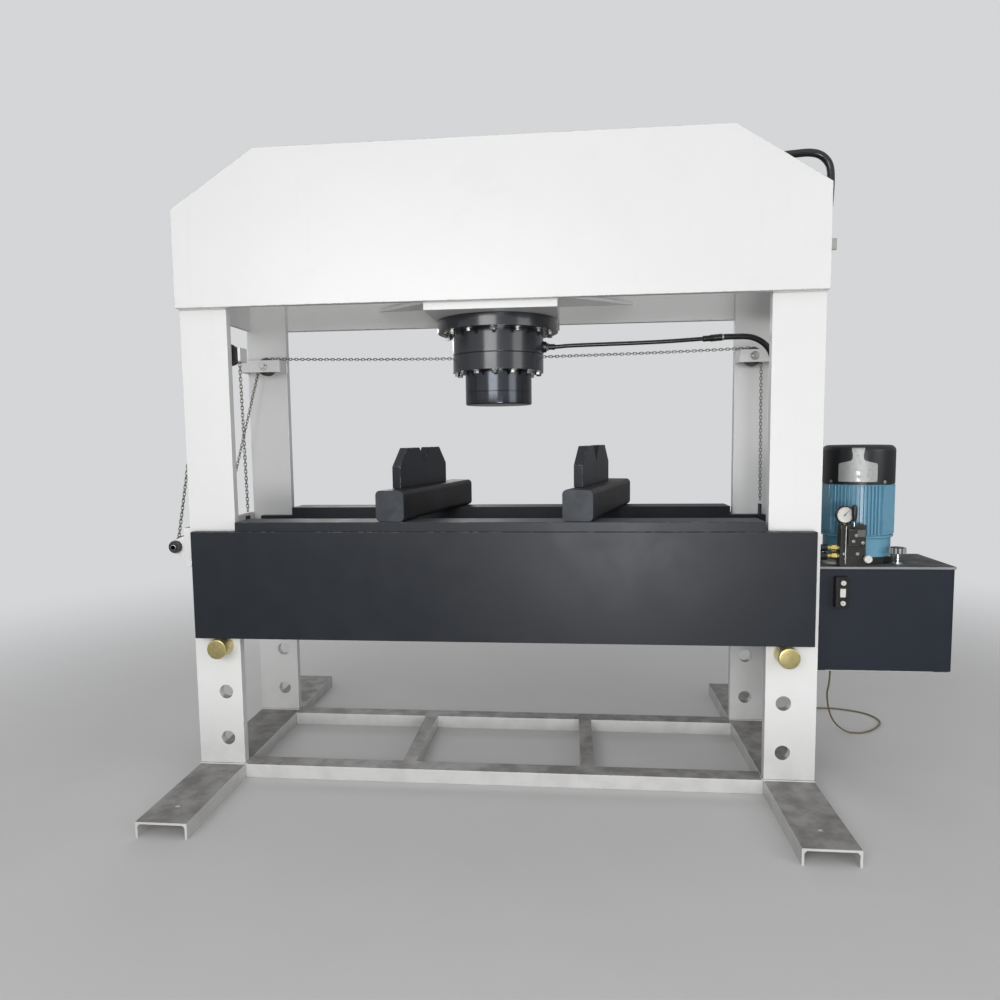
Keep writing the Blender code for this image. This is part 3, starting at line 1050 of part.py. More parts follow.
def breather_and_buttons(look):
    """Filler breather on the lid and the start and stop buttons on the tank's front."""
    y = FRONT + BREATHER_SETBACK
    r, base, top = BREATHER_RADIUS, LID_TOP + GAP, BREATHER_TOP
    neck, cap_bottom = BREATHER_NECK, top - BREATHER_CAP
    foot = BREATHER_FOOT
    profile = [(0.0, base), (foot, base), (foot, base + 0.006), (neck + 0.002, base + 0.008),
               (neck, base + 0.020), (neck, cap_bottom - 0.004), (r - 0.003, cap_bottom),
               (r, cap_bottom + 0.003), (r, top - 0.006), (r - 0.006, top), (0.0, top)]
    add("filler_breather", solid_turned(profile, (BREATHER_X, y, 0.0), "Z", 20), look["chrome"],
        origin=(BREATHER_X, y, base))

    face = TANK_FRONT - GAP
    outline = [(px + BUTTON_BOX_X, pz + BUTTON_BOX_Z)
               for px, pz in rounded_rectangle(BUTTON_BOX_WIDTH, BUTTON_BOX_HEIGHT, 0.006, 2)]
    heights = (BUTTON_BOX_Z + BUTTON_SPACING / 2, BUTTON_BOX_Z - BUTTON_SPACING / 2)
    place = Matrix.Translation((0, face, 0)) @ Matrix.Rotation(math.pi / 2, 4, "X")
    box = add("button_box", plate(outline, [], BUTTON_BOX_DEPTH, place), look["plastic"])
    front = face - BUTTON_BOX_DEPTH
    bm = bmesh.new()
    for z in heights:
        cylinder_between((BUTTON_BOX_X, front - 0.002, z), (BUTTON_BOX_X, front + 0.012, z),
                         BUTTON_RADIUS + GAP, 20, bm)
    shape_with(box, tool_body("button_wells", bm), "DIFFERENCE")
    for name, z in (("start_button", heights[0]), ("stop_button", heights[1])):
        r, rise, sunk = BUTTON_RADIUS, BUTTON_RISE, 0.006
        profile = [(0.0, sunk), (r, sunk), (r, 0.002 - rise), (r - 0.002, -rise), (0.0, -rise)]
        add(name, solid_turned(profile, (BUTTON_BOX_X, front, z), "Y", 20), look["button"],
            origin=(BUTTON_BOX_X, front, z))


def swollen(path, radius, length, extra):
    """The radius at each point of a line, thicker along the fittings at both of its ends."""
    run = [0.0]
    for a, b in zip(path, path[1:]):
        run.append(run[-1] + (b - a).length)
    return [radius + (extra if min(s, run[-1] - s) <= length else 0.0) for s in run]


def hydraulic_lines(look):
    """The line to the cylinder's lower port, part pipe and part hose, and the hose over the crown."""
    start = BARREL_RADIUS + 0.030 + GAP
    y, valve_y = MIDDLE_Y, FRONT + VALVE_SETBACK + VALVE_DEPTH / 2
    join = PORT_Z + 0.026
    rigid = smooth_path([(start, y, PORT_Z), (start + 0.050, y, PORT_Z), (0.42, y, PORT_Z + 0.005),
                         (0.86, y, PORT_Z + 0.013), (PIPE_END_X, y, join)], 0.140)
    bent = smooth_path([(PIPE_END_X, y, join), (1.26, y, join + 0.006), (1.38, y, join - 0.004),
                        (1.462, y, join - 0.070), (1.490, y, join - 0.200), (1.495, y - 0.02, 1.90),
                        (1.500, y - 0.05, 1.60), (1.500, y - 0.08, 1.42), (1.530, valve_y + 0.09, 1.320),
                        (1.590, valve_y + 0.035, 1.245), (1.655, valve_y, FITTING_Z[0]),
                        (FITTING_LEFT - GAP, valve_y, FITTING_Z[0])], 0.060)
    radii = swollen(rigid, PIPE_DIAMETER / 2, 0.035, 0.005)
    radii += swollen(bent, HOSE_DIAMETER / 2, 0.060, 0.003)[1:]
    tube("pressure_line", rigid + bent[1:], radii, look["hose"])

    out_y = FRONT + 0.300
    top = BARREL_TOP + GAP
    line = smooth_path([(0.0, MIDDLE_Y, top), (0.0, MIDDLE_Y, top + 0.040), (0.050, y - 0.004, 3.200),
                        (0.30, MIDDLE_Y - 0.05, 3.205), (0.90, out_y + 0.04, 3.207), (1.35, out_y, 3.222),
                        (1.52, out_y, 3.236), (1.62, out_y, 3.238), (1.680, out_y, 3.212),
                        (1.712, out_y, 3.150), (1.712, out_y, 3.00), (1.690, out_y, 2.75),
                        (1.668, out_y, 2.40),
                        (1.640, out_y, 2.00), (1.600, out_y, 1.62), (1.568, valve_y + 0.010, 1.40),
                        (1.572, valve_y - 0.010, 1.265), (1.605, valve_y - 0.012, 1.192),
                        (1.665, valve_y, FITTING_Z[1]),
                        (FITTING_LEFT - GAP, valve_y, FITTING_Z[1])], 0.062)
    tube("return_hose", line, swollen(line, RETURN_HOSE_DIAMETER / 2, 0.050, 0.0), look["hose"])


def supply_cable(look):
    """A lead from the motor's terminal box that loops on the floor and ends in a coil with its plug."""
    lie = CABLE_DIAMETER / 2 + GAP
    gland_y = FRONT + GLAND_SETBACK
    coil_y = FRONT + COIL_SETBACK
    tail_y = coil_y - COIL_TURN_RADIUS
    stub_end = COIL_X + COIL_TURN_RADIUS + COIL_WIDTH / 2 + 0.010
    drop = TERMINAL_BOX_BOTTOM - GLAND_LENGTH - GAP
    route = [(GLAND_X, gland_y, drop), (GLAND_X, gland_y, 1.25), (1.913, gland_y, 0.90),
             (1.905, gland_y, 0.42), (1.906, 0.705, 0.275), (1.945, 0.750, 0.137), (2.010, 0.790, 0.050),
             (2.086, 0.815, lie), (2.150, 0.815, lie), (2.232, 0.863, lie), (2.307, 0.946, lie),
             (2.336, 1.020, lie), (2.318, 1.100, lie), (2.270, 1.155, lie), (2.201, 1.190, lie),
             (2.122, tail_y, lie), (2.070, tail_y, lie), (stub_end + GAP, tail_y, lie)]
    points = smooth_path(route, 4 * CABLE_DIAMETER)
    for p in points:
        p.z = max(p.z, lie)
    curve = bpy.data.curves.new("supply_cable", "CURVE")
    curve.dimensions = "3D"
    curve.bevel_depth = CABLE_DIAMETER / 2
    curve.bevel_resolution = 2
    curve.resolution_u = 1
    curve.use_fill_caps = True
    spline = curve.splines.new("POLY")
    spline.points.add(len(points) - 1)
    for target, p in zip(spline.points, points):
        target.co = (*p, 1.0)
    curve.materials.append(look["cable"])
    piece = bpy.data.objects.new("supply_cable", curve)
    piece.location = -MODEL_ORIGIN
    bpy.context.collection.objects.link(piece)

    inner, outer = COIL_TURN_RADIUS - COIL_WIDTH / 2, COIL_TURN_RADIUS + COIL_WIDTH / 2
    ring = [(inner, GAP), (outer, GAP), (outer, COIL_HEIGHT), (inner, COIL_HEIGHT)]
    coil = add("cable_coil", turned(ring, (COIL_X, coil_y, 0), segments=24), look["cable"])
    stub = cylinder_between((COIL_X + COIL_TURN_RADIUS / 2, tail_y, lie), (stub_end, tail_y, lie),
                            CABLE_DIAMETER / 2, 12)
    shape_with(coil, tool_body("coil_tail", stub), "UNION")
    r = PLUG_RADIUS
    plug = [(0.0, 0.0), (r, 0.0), (r, 0.040), (r + 0.003, 0.042), (r + 0.003, 0.052), (0.019, 0.060),
            (0.015, PLUG_LENGTH - 0.016), (0.008, PLUG_LENGTH), (0.0, PLUG_LENGTH)]
    z = COIL_HEIGHT + GAP + r
    add("supply_plug", solid_turned(plug, (COIL_X - PLUG_LENGTH / 2, coil_y, z), "X", 20), look["plastic"])


def main():
    for piece in list(bpy.data.objects):
        bpy.data.objects.remove(piece, do_unlink=True)
    look = materials()
    columns(look)
    feet(look)
    base_frame(look)
    crown(look)
    cylinder_mount(look)
    cylinder(look)
    bed(look)
    loose_bars(look)
    support_pins(look)
    pulley_brackets(look)
    sheaves(look)
    lifting_chains(look)
    winding_gear(look)
    pack_support(look)
    oil_tank(look)
    motor(look)
    valve_group(look)
    breather_and_buttons(look)
    hydraulic_lines(look)
    supply_cable(look)


main()
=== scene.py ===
"""Looks for a wide four-column hydraulic press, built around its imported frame.

Sizes are in metres. Each piece is modelled in the press's own places: x from the press's middle, y from the front
faces of its front columns and z from the floor. piece carries it into the frame.
"""

import math
import random

import bmesh
import bpy
from mathutils import Matrix, Vector


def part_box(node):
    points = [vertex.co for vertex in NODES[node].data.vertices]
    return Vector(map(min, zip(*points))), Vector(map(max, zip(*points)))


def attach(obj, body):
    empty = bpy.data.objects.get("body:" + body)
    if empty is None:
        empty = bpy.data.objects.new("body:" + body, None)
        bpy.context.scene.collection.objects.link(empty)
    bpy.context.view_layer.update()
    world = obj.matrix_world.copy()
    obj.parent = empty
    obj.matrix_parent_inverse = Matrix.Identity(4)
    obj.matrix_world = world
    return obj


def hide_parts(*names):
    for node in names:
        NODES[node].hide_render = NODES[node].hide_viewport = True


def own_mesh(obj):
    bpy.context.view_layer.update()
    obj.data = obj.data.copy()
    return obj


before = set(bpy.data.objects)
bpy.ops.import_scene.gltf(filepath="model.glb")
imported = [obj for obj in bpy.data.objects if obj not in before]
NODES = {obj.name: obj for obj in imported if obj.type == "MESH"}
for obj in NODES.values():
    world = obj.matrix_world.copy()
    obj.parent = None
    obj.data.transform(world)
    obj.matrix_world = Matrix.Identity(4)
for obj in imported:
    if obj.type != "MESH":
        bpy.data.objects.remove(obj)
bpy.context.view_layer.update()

BASE_LOW, BASE_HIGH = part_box("base_frame")
TO_FRAME = Vector(((BASE_LOW.x + BASE_HIGH.x) / 2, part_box("column_front_left")[0].y, 0.0))

CORNERS = ("front_left", "front_right", "rear_left", "rear_right")

# Press sizes that more than one piece needs, as in the part's source
GAP = 0.0003
COLUMN_INNER, COLUMN_OUTER = 1.362, 1.612
COLUMN_THICKNESS = 0.045
REAR = 0.794
BACK = 0.839
MIDDLE_Y = 0.4195
FOOT_TOP = 0.076
CROWN_BOTTOM = 2.498
MOUNT_BOTTOM = 2.460
BARREL_RADIUS = 0.250
BARREL_BOTTOM = 2.270
PORT_Z = 2.314
GLAND_BOTTOM = 2.178
FLANGE_RADIUS = 0.332
FLANGE_TOP = MOUNT_BOTTOM - GAP
FLANGE_BOTTOM = FLANGE_TOP - 0.069
CYLINDER_BOLTS, FLANGE_BOLTS_AT, GLAND_BOLTS_AT = 14, 0.292, 0.228
RAM_RADIUS = 0.1835
RAM_BOTTOM = 2.000
SHEAVE_Z = 2.270
SHEAVE_CORE, SHEAVE_RIM, SHEAVE_WIDTH = 0.040, 0.054, 0.036
CHAIN_ON_SHEAVE = 0.0501
FRONT_SHEAVE_Y = 0.0903
REAR_SHEAVE_Y = 0.7417
FRONT_SHEAVES = (-1.392, -1.503)
REAR_SHEAVES = (-1.466, 1.450)
SHAFT_X, SHAFT_Z = -1.697, 1.262
REAR_SPOOL_Y = 0.600
TANK_LEFT, TANK_RIGHT = 1.630, 2.345
TANK_FRONT, TANK_BACK = 0.200, 0.620
TANK_BOTTOM, TANK_TOP = 0.590, 1.130
LID_TOP = 1.136
MOTOR_X, MOTOR_Y = 1.945, 0.445
MOTOR_RADIUS = 0.168
FIN_HEIGHT = 0.013
MOTOR_BOTTOM, MOTOR_TOP = 1.284, 1.553
COWL_RADIUS, COWL_TOP, COWL_ARC = 0.180, 1.757, 0.030
VALVE_LEFT, VALVE_RIGHT = 1.779, 1.905
VALVE_FRONT, VALVE_BACK = 0.205, 0.255
VALVE_TOP = 1.3513
SPOOL_FRONT = 0.179
SPOOL_TOP = 1.3313
GAUGE_X, GAUGE_Z, GAUGE_RADIUS = 1.803, 1.403, 0.046
FITTING_X = 1.719
FITTING_Z = (1.230, 1.187)
VALVE_Y = 0.230
BUTTON_X, BUTTON_BOX_Z = 1.780, 1.007
CABLE_DIAMETER = 0.010
CABLE_LIE = CABLE_DIAMETER / 2 + GAP
COIL_X, COIL_Y, COIL_TURN = 1.950, 1.270, 0.055

random.seed(7)


# The camera and the lamps

EYE = (0.3884, -3.6633, 1.8240)
YAW, PITCH, ROLL = -0.0949, -0.0864, -0.0122
FOCAL_PIXELS, PICTURE = 729.05, 1000.0


def place(x, y, z):
    """A point of the press in the frame."""
    return TO_FRAME + Vector((x, y, z))


def make_camera():
    forward = Vector((math.sin(YAW) * math.cos(PITCH), math.cos(YAW) * math.cos(PITCH), math.sin(PITCH)))
    level = Vector((math.cos(YAW), -math.sin(YAW), 0.0))
    rise = level.cross(forward)
    right = math.cos(ROLL) * level + math.sin(ROLL) * rise
    up = math.cos(ROLL) * rise - math.sin(ROLL) * level
    data = bpy.data.cameras.new("photograph_view")
    data.sensor_fit = "HORIZONTAL"
    data.sensor_width = 36.0
    data.lens = data.sensor_width * FOCAL_PIXELS / PICTURE
    data.clip_start, data.clip_end = 0.05, 200.0
    camera = bpy.data.objects.new("photograph_view", data)
    turn = Matrix((right, up, -forward)).transposed().to_4x4()
    camera.matrix_world = Matrix.Translation(place(*EYE)) @ turn
    bpy.context.collection.objects.link(camera)
    bpy.context.scene.camera = camera


def softbox(name, spot, aim, width, height, watts):
    """A lamp with an oblong face, aimed at a point."""
    data = bpy.data.lights.new(name, "AREA")
    data.shape = "RECTANGLE"
    data.size, data.size_y = width, height
    data.energy = watts
    lamp = bpy.data.objects.new(name, data)
    lamp.location = place(*spot)
    lamp.rotation_euler = (place(*aim) - lamp.location).to_track_quat("-Z", "Y").to_euler()
    bpy.context.collection.objects.link(lamp)


def put(tree, kind, values=None, **settings):
    """Adds a shader node; each value is a number, a colour or what another node gives."""
    made = tree.nodes.new("ShaderNode" + kind)
    for name, value in settings.items():
        setattr(made, name, value)
    for name, value in (values or {}).items():
        feed(tree, made.inputs[name], value)
    return made


def feed(tree, socket, value):
    if isinstance(value, Given):
        tree.links.new(value.socket, socket)
    else:
        socket.default_value = value


def taken(tree, kind, output, values=None, **settings):
    """One output of a new shader node."""
    return Given(tree, put(tree, kind, values, **settings).outputs[output])


class Given:
    """What a shader node gives. It adds, subtracts and multiplies as a number does."""

    def __init__(self, tree, socket):
        self.tree, self.socket = tree, socket

    def calc(self, kind, other):
        return taken(self.tree, "Math", 0, {0: self, 1: other}, operation=kind)

    def __add__(self, other):
        return self.calc("ADD", other)

    def __sub__(self, other):
        return self.calc("SUBTRACT", other)

    def __mul__(self, other):
        return self.calc("MULTIPLY", other)

    def clamped(self):
        """The same result, held between 0 and 1."""
        self.socket.node.use_clamp = True
        return self

    def rise(self, low, high, top=1.0):
        """A soft step from 0 at low to top at high."""
        values = {"Value": self, "From Min": low, "From Max": high, "To Max": top}
        return taken(self.tree, "MapRange", "Result", values, interpolation_type="SMOOTHSTEP")

    def noise(self, scale, detail=3.0, rough=0.55):
        values = {"Vector": self, "Scale": scale, "Detail": detail, "Roughness": rough}
        return taken(self.tree, "TexNoise", "Fac", values)

    def stretched(self, scale):
        return taken(self.tree, "Mapping", "Vector", {"Vector": self, "Scale": scale})

    def part(self, axis):
        return taken(self.tree, "SeparateXYZ", axis, {"Vector": self})

    def between(self, first, second):
        """A mix of two colours, with this as the share of the second."""
        return taken(self.tree, "Mix", 2, {0: self, 6: first, 7: second}, data_type="RGBA")

    def shading(self, colour):
        """A colour made lighter or darker by this."""
        return taken(self.tree, "HueSaturation", "Color", {"Color": colour, "Value": self})


def effect(name, inputs, outputs):
    """An empty shader group with named inputs and outputs."""
    tree = bpy.data.node_groups.new(name, "ShaderNodeTree")
    for label, value in inputs.items():
        kind = "NodeSocketColor" if isinstance(value, tuple) else "NodeSocketFloat"
        socket = tree.interface.new_socket(label, in_out="INPUT", socket_type=kind)
        socket.default_value = value
    for label in outputs:
        kind = "NodeSocketColor" if label == "Colour" else "NodeSocketFloat"
        tree.interface.new_socket(label, in_out="OUTPUT", socket_type=kind)
    given = {socket.name: Given(tree, socket) for socket in tree.nodes.new("NodeGroupInput").outputs}
    return tree, given


def give(tree, **values):
    """Ends a shader group with what it gives."""
    result = tree.nodes.new("NodeGroupOutput").inputs
    for label, value in values.items():
        feed(tree, result[label], value)
    return tree


def spots(tree):
    """Places on the object, and how far its surface faces up there."""
    found = put(tree, "TexCoord").outputs
    return Given(tree, found["Object"]), Given(tree, found["Normal"]).part("Z")


def painted_surface():
    """Sprayed paint: uneven tone, floor dirt, a darkening towards the floor, dust on flat tops, streaks, worn edges and
    a fine peel. On the white frame the dark dust on the tops is partly dust and partly painted shade.
    """
    tree, given = effect("painted surface", {
        "Colour": (0.8, 0.8, 0.8, 1.0), "Tone": 0.05, "Gloss": 0.4,
        "Soil Colour": (0.2, 0.18, 0.15, 1.0), "Soil": 0.3, "Near Floor Darkening": 0.0,
        "Dust Colour": (0.45, 0.43, 0.40, 1.0), "Dust": 0.3,
        "Worn Colour": (0.25, 0.24, 0.23, 1.0), "Wear": 0.3, "Peel": 1.0,
    }, ("Colour", "Roughness", "Metal", "Height"))
    where, facing_up = spots(tree)
    middle = where.noise(9.0, 4.0)
    sway = where.noise(1.4, 2.0) - 0.5 + (middle - 0.5) * 0.6
    colour = (sway * given["Tone"] + 1.0).shading(given["Colour"])

    height = where.part("Z")
    splash = height.rise(0.42, 0.02) * middle.rise(0.38, 0.66)
    patches = where.noise(3.1, 7.0, 0.62).rise(0.56, 0.78) * 0.40
    runs = where.stretched((26.0, 26.0, 0.9)).noise(1.0, 4.0).rise(0.60, 0.80) * 0.30
    flecks = where.noise(70.0, 3.0).rise(0.70, 0.78) * 0.5
    soil = (splash + patches + (runs + flecks)) * given["Soil"]
    # A smooth darkening towards the floor, mixed towards the soil colour.
    soil = (soil + height.rise(0.62, 0.04) * given["Near Floor Darkening"]).clamped()
    colour = soil.between(colour, given["Soil Colour"])

    # Up-facing tops take the dust colour; on the white frame this is partly dust and partly painted shade on the tops.
    cover = middle.rise(0.30, 0.70) * 0.28 + 0.72
    dust = (facing_up.rise(0.55, 0.95) * cover * given["Dust"]).clamped()
    colour = dust.between(colour, given["Dust Colour"])

    edge = taken(tree, "Attribute", "Fac", attribute_name="edge")
    chips = where.noise(34.0, 6.0, 0.65).rise(0.50, 0.60)
    worn = (edge * chips * given["Wear"]).clamped()
    colour = worn.between(colour, given["Worn Colour"])

    roughness = (middle - 0.5) * 0.16 + given["Gloss"]
    roughness = (roughness + (soil + dust) * 0.30).clamped()
    relief = where.noise(260.0, 2.0) * 0.000045 + where.noise(3.4, 1.0) * 0.0011 + middle * 0.00022
    return give(tree, Colour=colour, Roughness=roughness, Metal=worn * 0.8, Height=relief * given["Peel"])


def turned_metal():
    """Metal off a lathe: rings that follow the cut, smudges of oil and a little tarnish."""
    tree, given = effect("turned metal", {
        "Colour": (0.5, 0.5, 0.5, 1.0), "Gloss": 0.3, "Marks": 0.5,
        "Stain Colour": (0.12, 0.10, 0.08, 1.0), "Stain": 0.3,
    }, ("Colour", "Roughness", "Height"))
    where = taken(tree, "TexCoord", "Object")
    along = taken(tree, "Attribute", "Fac", attribute_name="lathe")
    rings = taken(tree, "TexNoise", "Fac", {"W": along, "Scale": 900.0, "Detail": 3.0}, noise_dimensions="1D")
    smudge = where.noise(22.0, 5.0, 0.6)
    stain = where.noise(60.0, 6.0, 0.65).rise(0.52, 0.72) * given["Stain"]
    colour = stain.between((smudge * 0.28 + 0.86).shading(given["Colour"]), given["Stain Colour"])
    roughness = (rings - 0.5) * (given["Marks"] * 0.30) + given["Gloss"] + stain * 0.35 + (smudge - 0.5) * 0.14
    return give(tree, Colour=colour, Roughness=roughness.calc("MAXIMUM", 0.05),
                Height=rings * given["Marks"] * 0.00003)


def rolled_steel():
    """Steel from the mill: blue-black scale with bare and rusty patches and rubbed edges."""
    tree, given = effect("rolled steel", {
        "Colour": (0.03, 0.03, 0.035, 1.0), "Bare Colour": (0.16, 0.17, 0.18, 1.0), "Bare": 0.4,
        "Rust Colour": (0.12, 0.06, 0.03, 1.0), "Rust": 0.3, "Gloss": 0.5, "Relief": 1.0,
    }, ("Colour", "Roughness", "Metal", "Height"))
    where = taken(tree, "TexCoord", "Object")
    middle = where.noise(14.0, 5.0, 0.6)
    fine = where.noise(95.0, 4.0, 0.6)
    bare = where.noise(6.0, 7.0, 0.66).rise(0.47, 0.62) * given["Bare"]
    colour = bare.between((middle * 0.6 + 0.70).shading(given["Colour"]), given["Bare Colour"])
    rust = (middle * fine).rise(0.26, 0.42) * given["Rust"]
    colour = rust.between(colour, given["Rust Colour"])
    rubbed = taken(tree, "Attribute", "Fac", attribute_name="edge") * where.noise(30.0, 5.0).rise(0.40, 0.60)
    colour = (rubbed * 0.7).between(colour, given["Bare Colour"])
    roughness = ((fine - 0.5) * 0.25 + given["Gloss"] + rust * 0.35).clamped()
    relief = fine * 0.00016 + middle * 0.0005
    return give(tree, Colour=colour, Roughness=roughness, Metal=bare.calc("MAXIMUM", rubbed) * 0.7,
                Height=relief * given["Relief"])


def moulded():
    """Plastic or rubber: a fine grain, handling shine and a bloom of dust."""
    tree, given = effect("moulded", {
        "Colour": (0.02, 0.02, 0.02, 1.0), "Gloss": 0.4, "Grain": 1.0,
        "Dust Colour": (0.35, 0.33, 0.30, 1.0), "Dust": 0.2,
    }, ("Colour", "Roughness", "Height"))
    where, facing_up = spots(tree)
    middle = where.noise(18.0, 5.0, 0.6)
    settled = facing_up.rise(0.0, 0.9) * middle.rise(0.30, 0.70)
    film = where.noise(7.0, 6.0).rise(0.48, 0.75) * 0.35
    dust = ((settled + film) * given["Dust"]).clamped()
    colour = dust.between((middle * 0.40 + 0.80).shading(given["Colour"]), given["Dust Colour"])
    roughness = ((middle - 0.5) * 0.20 + given["Gloss"] + dust * 0.4).clamped()
    return give(tree, Colour=colour, Roughness=roughness, Height=where.noise(900.0, 2.0) * 0.00002 * given["Grain"])


# Each surface, and the names of the values in its looks' rows
SURFACES = {
    "paint": (painted_surface(), ("Colour", "Tone", "Gloss", "Soil Colour", "Soil", "Dust Colour", "Dust",
                                  "Worn Colour", "Wear", "Peel")),
    "turned": (turned_metal(), ("Colour", "Gloss", "Marks", "Stain Colour", "Stain", "Metallic")),
    "rolled": (rolled_steel(), ("Colour", "Bare Colour", "Bare", "Rust Colour", "Rust", "Gloss", "Relief")),
    "moulded": (moulded(), ("Colour", "Gloss", "Grain", "Dust Colour", "Dust")),
}


def shade(red, green, blue):
    """A screen colour, 0 to 255, as the shader counts it."""
    return tuple(((c / 255 + 0.055) / 1.055) ** 2.4 if c > 10 else c / 255 / 12.92
                 for c in (red, green, blue)) + (1.0,)


def finish_of(name, kind, *row, **more):
    """A material whose colour, roughness and relief come from a surface; three numbers are a screen colour."""
    surface, labels = SURFACES[kind]
    made = bpy.data.materials.new(name)
    made.use_nodes = True
    tree = made.node_tree
    shader = tree.nodes["Principled BSDF"]
    use = tree.nodes.new("ShaderNodeGroup")
    use.node_tree = surface
    values = {label: shade(*value) if isinstance(value, tuple) and len(value) == 3 else value
              for label, value in zip(labels, row)}
    for label, value in {**values, **more}.items():
        label = label.replace("_", " ")
        (use if label in use.inputs else shader).inputs[label].default_value = value
    for output, label in (("Colour", "Base Color"), ("Roughness", "Roughness"), ("Metal", "Metallic")):
        if output in use.outputs:
            tree.links.new(use.outputs[output], shader.inputs[label])
    bump = put(tree, "Bump", {"Height": Given(tree, use.outputs["Height"]), "Strength": 1.0, "Distance": 1.0})
    tree.links.new(bump.outputs["Normal"], shader.inputs["Normal"])
    made.diffuse_color = values["Colour"]
    return made


def made_looks(rows):
    looks = {}
    for name, *row in rows:
        more = row.pop() if isinstance(row[-1], dict) else {}
        looks[name] = finish_of(name, *row, **more)
    return looks


LOOKS = made_looks((
    # The white frame's dark dust colour on up-facing tops is partly dust and partly painted shade on the tops.
    ("frame_white", "paint", (0.80, 0.805, 0.79, 1.0), 0.05, 0.36, (118, 116, 112), 0.10, (104, 101, 97),
     # The white frame is also darker towards the floor.
     0.92, (130, 124, 114), 0.35, 0.7, {"Near Floor Darkening": 0.30, "Coat_Weight": 0.15, "Coat_Roughness": 0.25}),
    ("bed_slate", "paint", (33, 37, 43), 0.25, 0.38, (70, 68, 64), 0.14, (96, 98, 98), 0.55, (120, 122, 124),
     0.7, 1.0, {"Specular_IOR_Level": 0.35}),
    ("cylinder_black", "paint", (34, 37, 42), 0.35, 0.24, (80, 78, 74), 0.12, (96, 94, 90), 0.4,
     (120, 120, 120), 0.6, 2.6, {"Coat_Weight": 0.5, "Coat_Roughness": 0.12}),
    ("ram_chrome", "turned", (70, 73, 78), 0.16, 0.5, (52, 46, 40), 0.25, 0.9),
    ("bar_dark", "rolled", (24, 25, 28), (64, 68, 73), 0.30, (84, 66, 52), 0.30, 0.46, 1.0),
    # Sawn bar ends: lighter than the sides, partly bare steel and partly a painted highlight.
    ("sawn_end", "rolled", (56, 60, 65), (92, 96, 102), 0.5, (96, 84, 72), 0.25, 0.42, 0.6),
    ("pin_yellow_zinc", "turned", (214, 200, 142), 0.30, 0.9, (122, 108, 66), 0.35, 0.85),
    ("chain_zinc", "turned", (150, 148, 142), 0.38, 0.2, (48, 44, 38), 0.8, 0.9),
    ("bolt_steel", "turned", (190, 190, 188), 0.30, 0.4, (70, 66, 60), 0.5, 0.95),
    ("dark_steel", "rolled", (48, 48, 50), (130, 130, 130), 0.30, (82, 62, 46), 0.30, 0.42, 0.5),
    ("tank_slate", "paint", (34, 39, 49), 0.20, 0.46, (66, 66, 64), 0.20, (92, 92, 92), 0.55,
     (112, 114, 116), 0.5, 0.8, {"Specular_IOR_Level": 0.3}),
    ("lid_edge", "paint", (146, 148, 148), 0.5, 0.44, (60, 60, 60), 0.6, (58, 59, 60), 1.0, (170, 170, 168),
     0.8, 1.0),
    ("motor_teal", "paint", (104, 156, 180), 0.12, 0.30, (58, 78, 86), 0.30, (120, 140, 146), 0.45,
     (140, 150, 154), 0.5, 1.6, {"Coat_Weight": 0.3, "Coat_Roughness": 0.2}),
    ("cowl_black", "paint", (24, 26, 28), 0.25, 0.34, (60, 58, 55), 0.20, (74, 72, 70), 0.5, (110, 110, 110),
     0.6, 0.8),
    ("valve_black", "paint", (36, 37, 35), 0.35, 0.36, (74, 66, 54), 0.55, (92, 88, 80), 0.6,
     (120, 118, 112), 0.9, 2.0),
    ("chrome", "turned", (222, 222, 222), 0.14, 0.25, (120, 112, 100), 0.15, 1.0),
    ("brass", "turned", (214, 196, 128), 0.24, 0.5, (120, 96, 50), 0.4, 0.95),
    ("plate_silver", "turned", (170, 173, 171), 0.50, 0.0, (130, 130, 124), 0.45, 0.55),
    ("plastic_black", "moulded", (22, 22, 23), 0.34, 1.0, (110, 106, 98), 0.20),
    ("button_pale", "moulded", (216, 216, 210), 0.30, 0.5, (150, 146, 136), 0.30),
    ("dial_white", "moulded", (232, 232, 228), 0.25, 0.2, (190, 188, 180), 0.10,
     {"Coat_Weight": 0.6, "Coat_Roughness": 0.04}),
    ("hose_black", "moulded", (22, 22, 24), 0.24, 3.0, (90, 86, 80), 0.16,
     {"Coat_Weight": 0.3, "Coat_Roughness": 0.15}),
    ("clamp_grey", "moulded", (176, 176, 172), 0.45, 1.0, (130, 126, 118), 0.30),
    ("cap_grey", "moulded", (92, 92, 88), 0.40, 3.0, (120, 114, 100), 0.40),
    ("bolt_dark", "turned", (150, 150, 148), 0.22, 0.4, (24, 24, 24), 0.9, 0.95),
    ("rotor_steel", "turned", (150, 150, 148), 0.36, 0.6, (70, 64, 56), 0.4, 0.9),
    ("cable_olive", "moulded", (112, 104, 72), 0.46, 2.0, (140, 134, 118), 0.35),
))


# Shapes

def fresh():
    """An empty mesh with a face mark for rounded edges and a vertex mark that runs along a turned line."""
    bm = bmesh.new()
    bm.faces.layers.float.new("edge")
    bm.verts.layers.float.new("lathe")
    return bm


def soften(bm, width, segments=2, sharp=28.0):
    limit = math.radians(sharp)
    edges = [e for e in bm.edges if len(e.link_faces) == 2 and e.calc_face_angle(0.0) > limit]
    made = bmesh.ops.bevel(bm, geom=edges, offset=width, segments=segments, profile=0.5, affect="EDGES",
                           clamp_overlap=True, material=-1)
    mark = bm.faces.layers.float["edge"]
    for face in made["faces"]:
        face[mark] = 1.0
    return bm


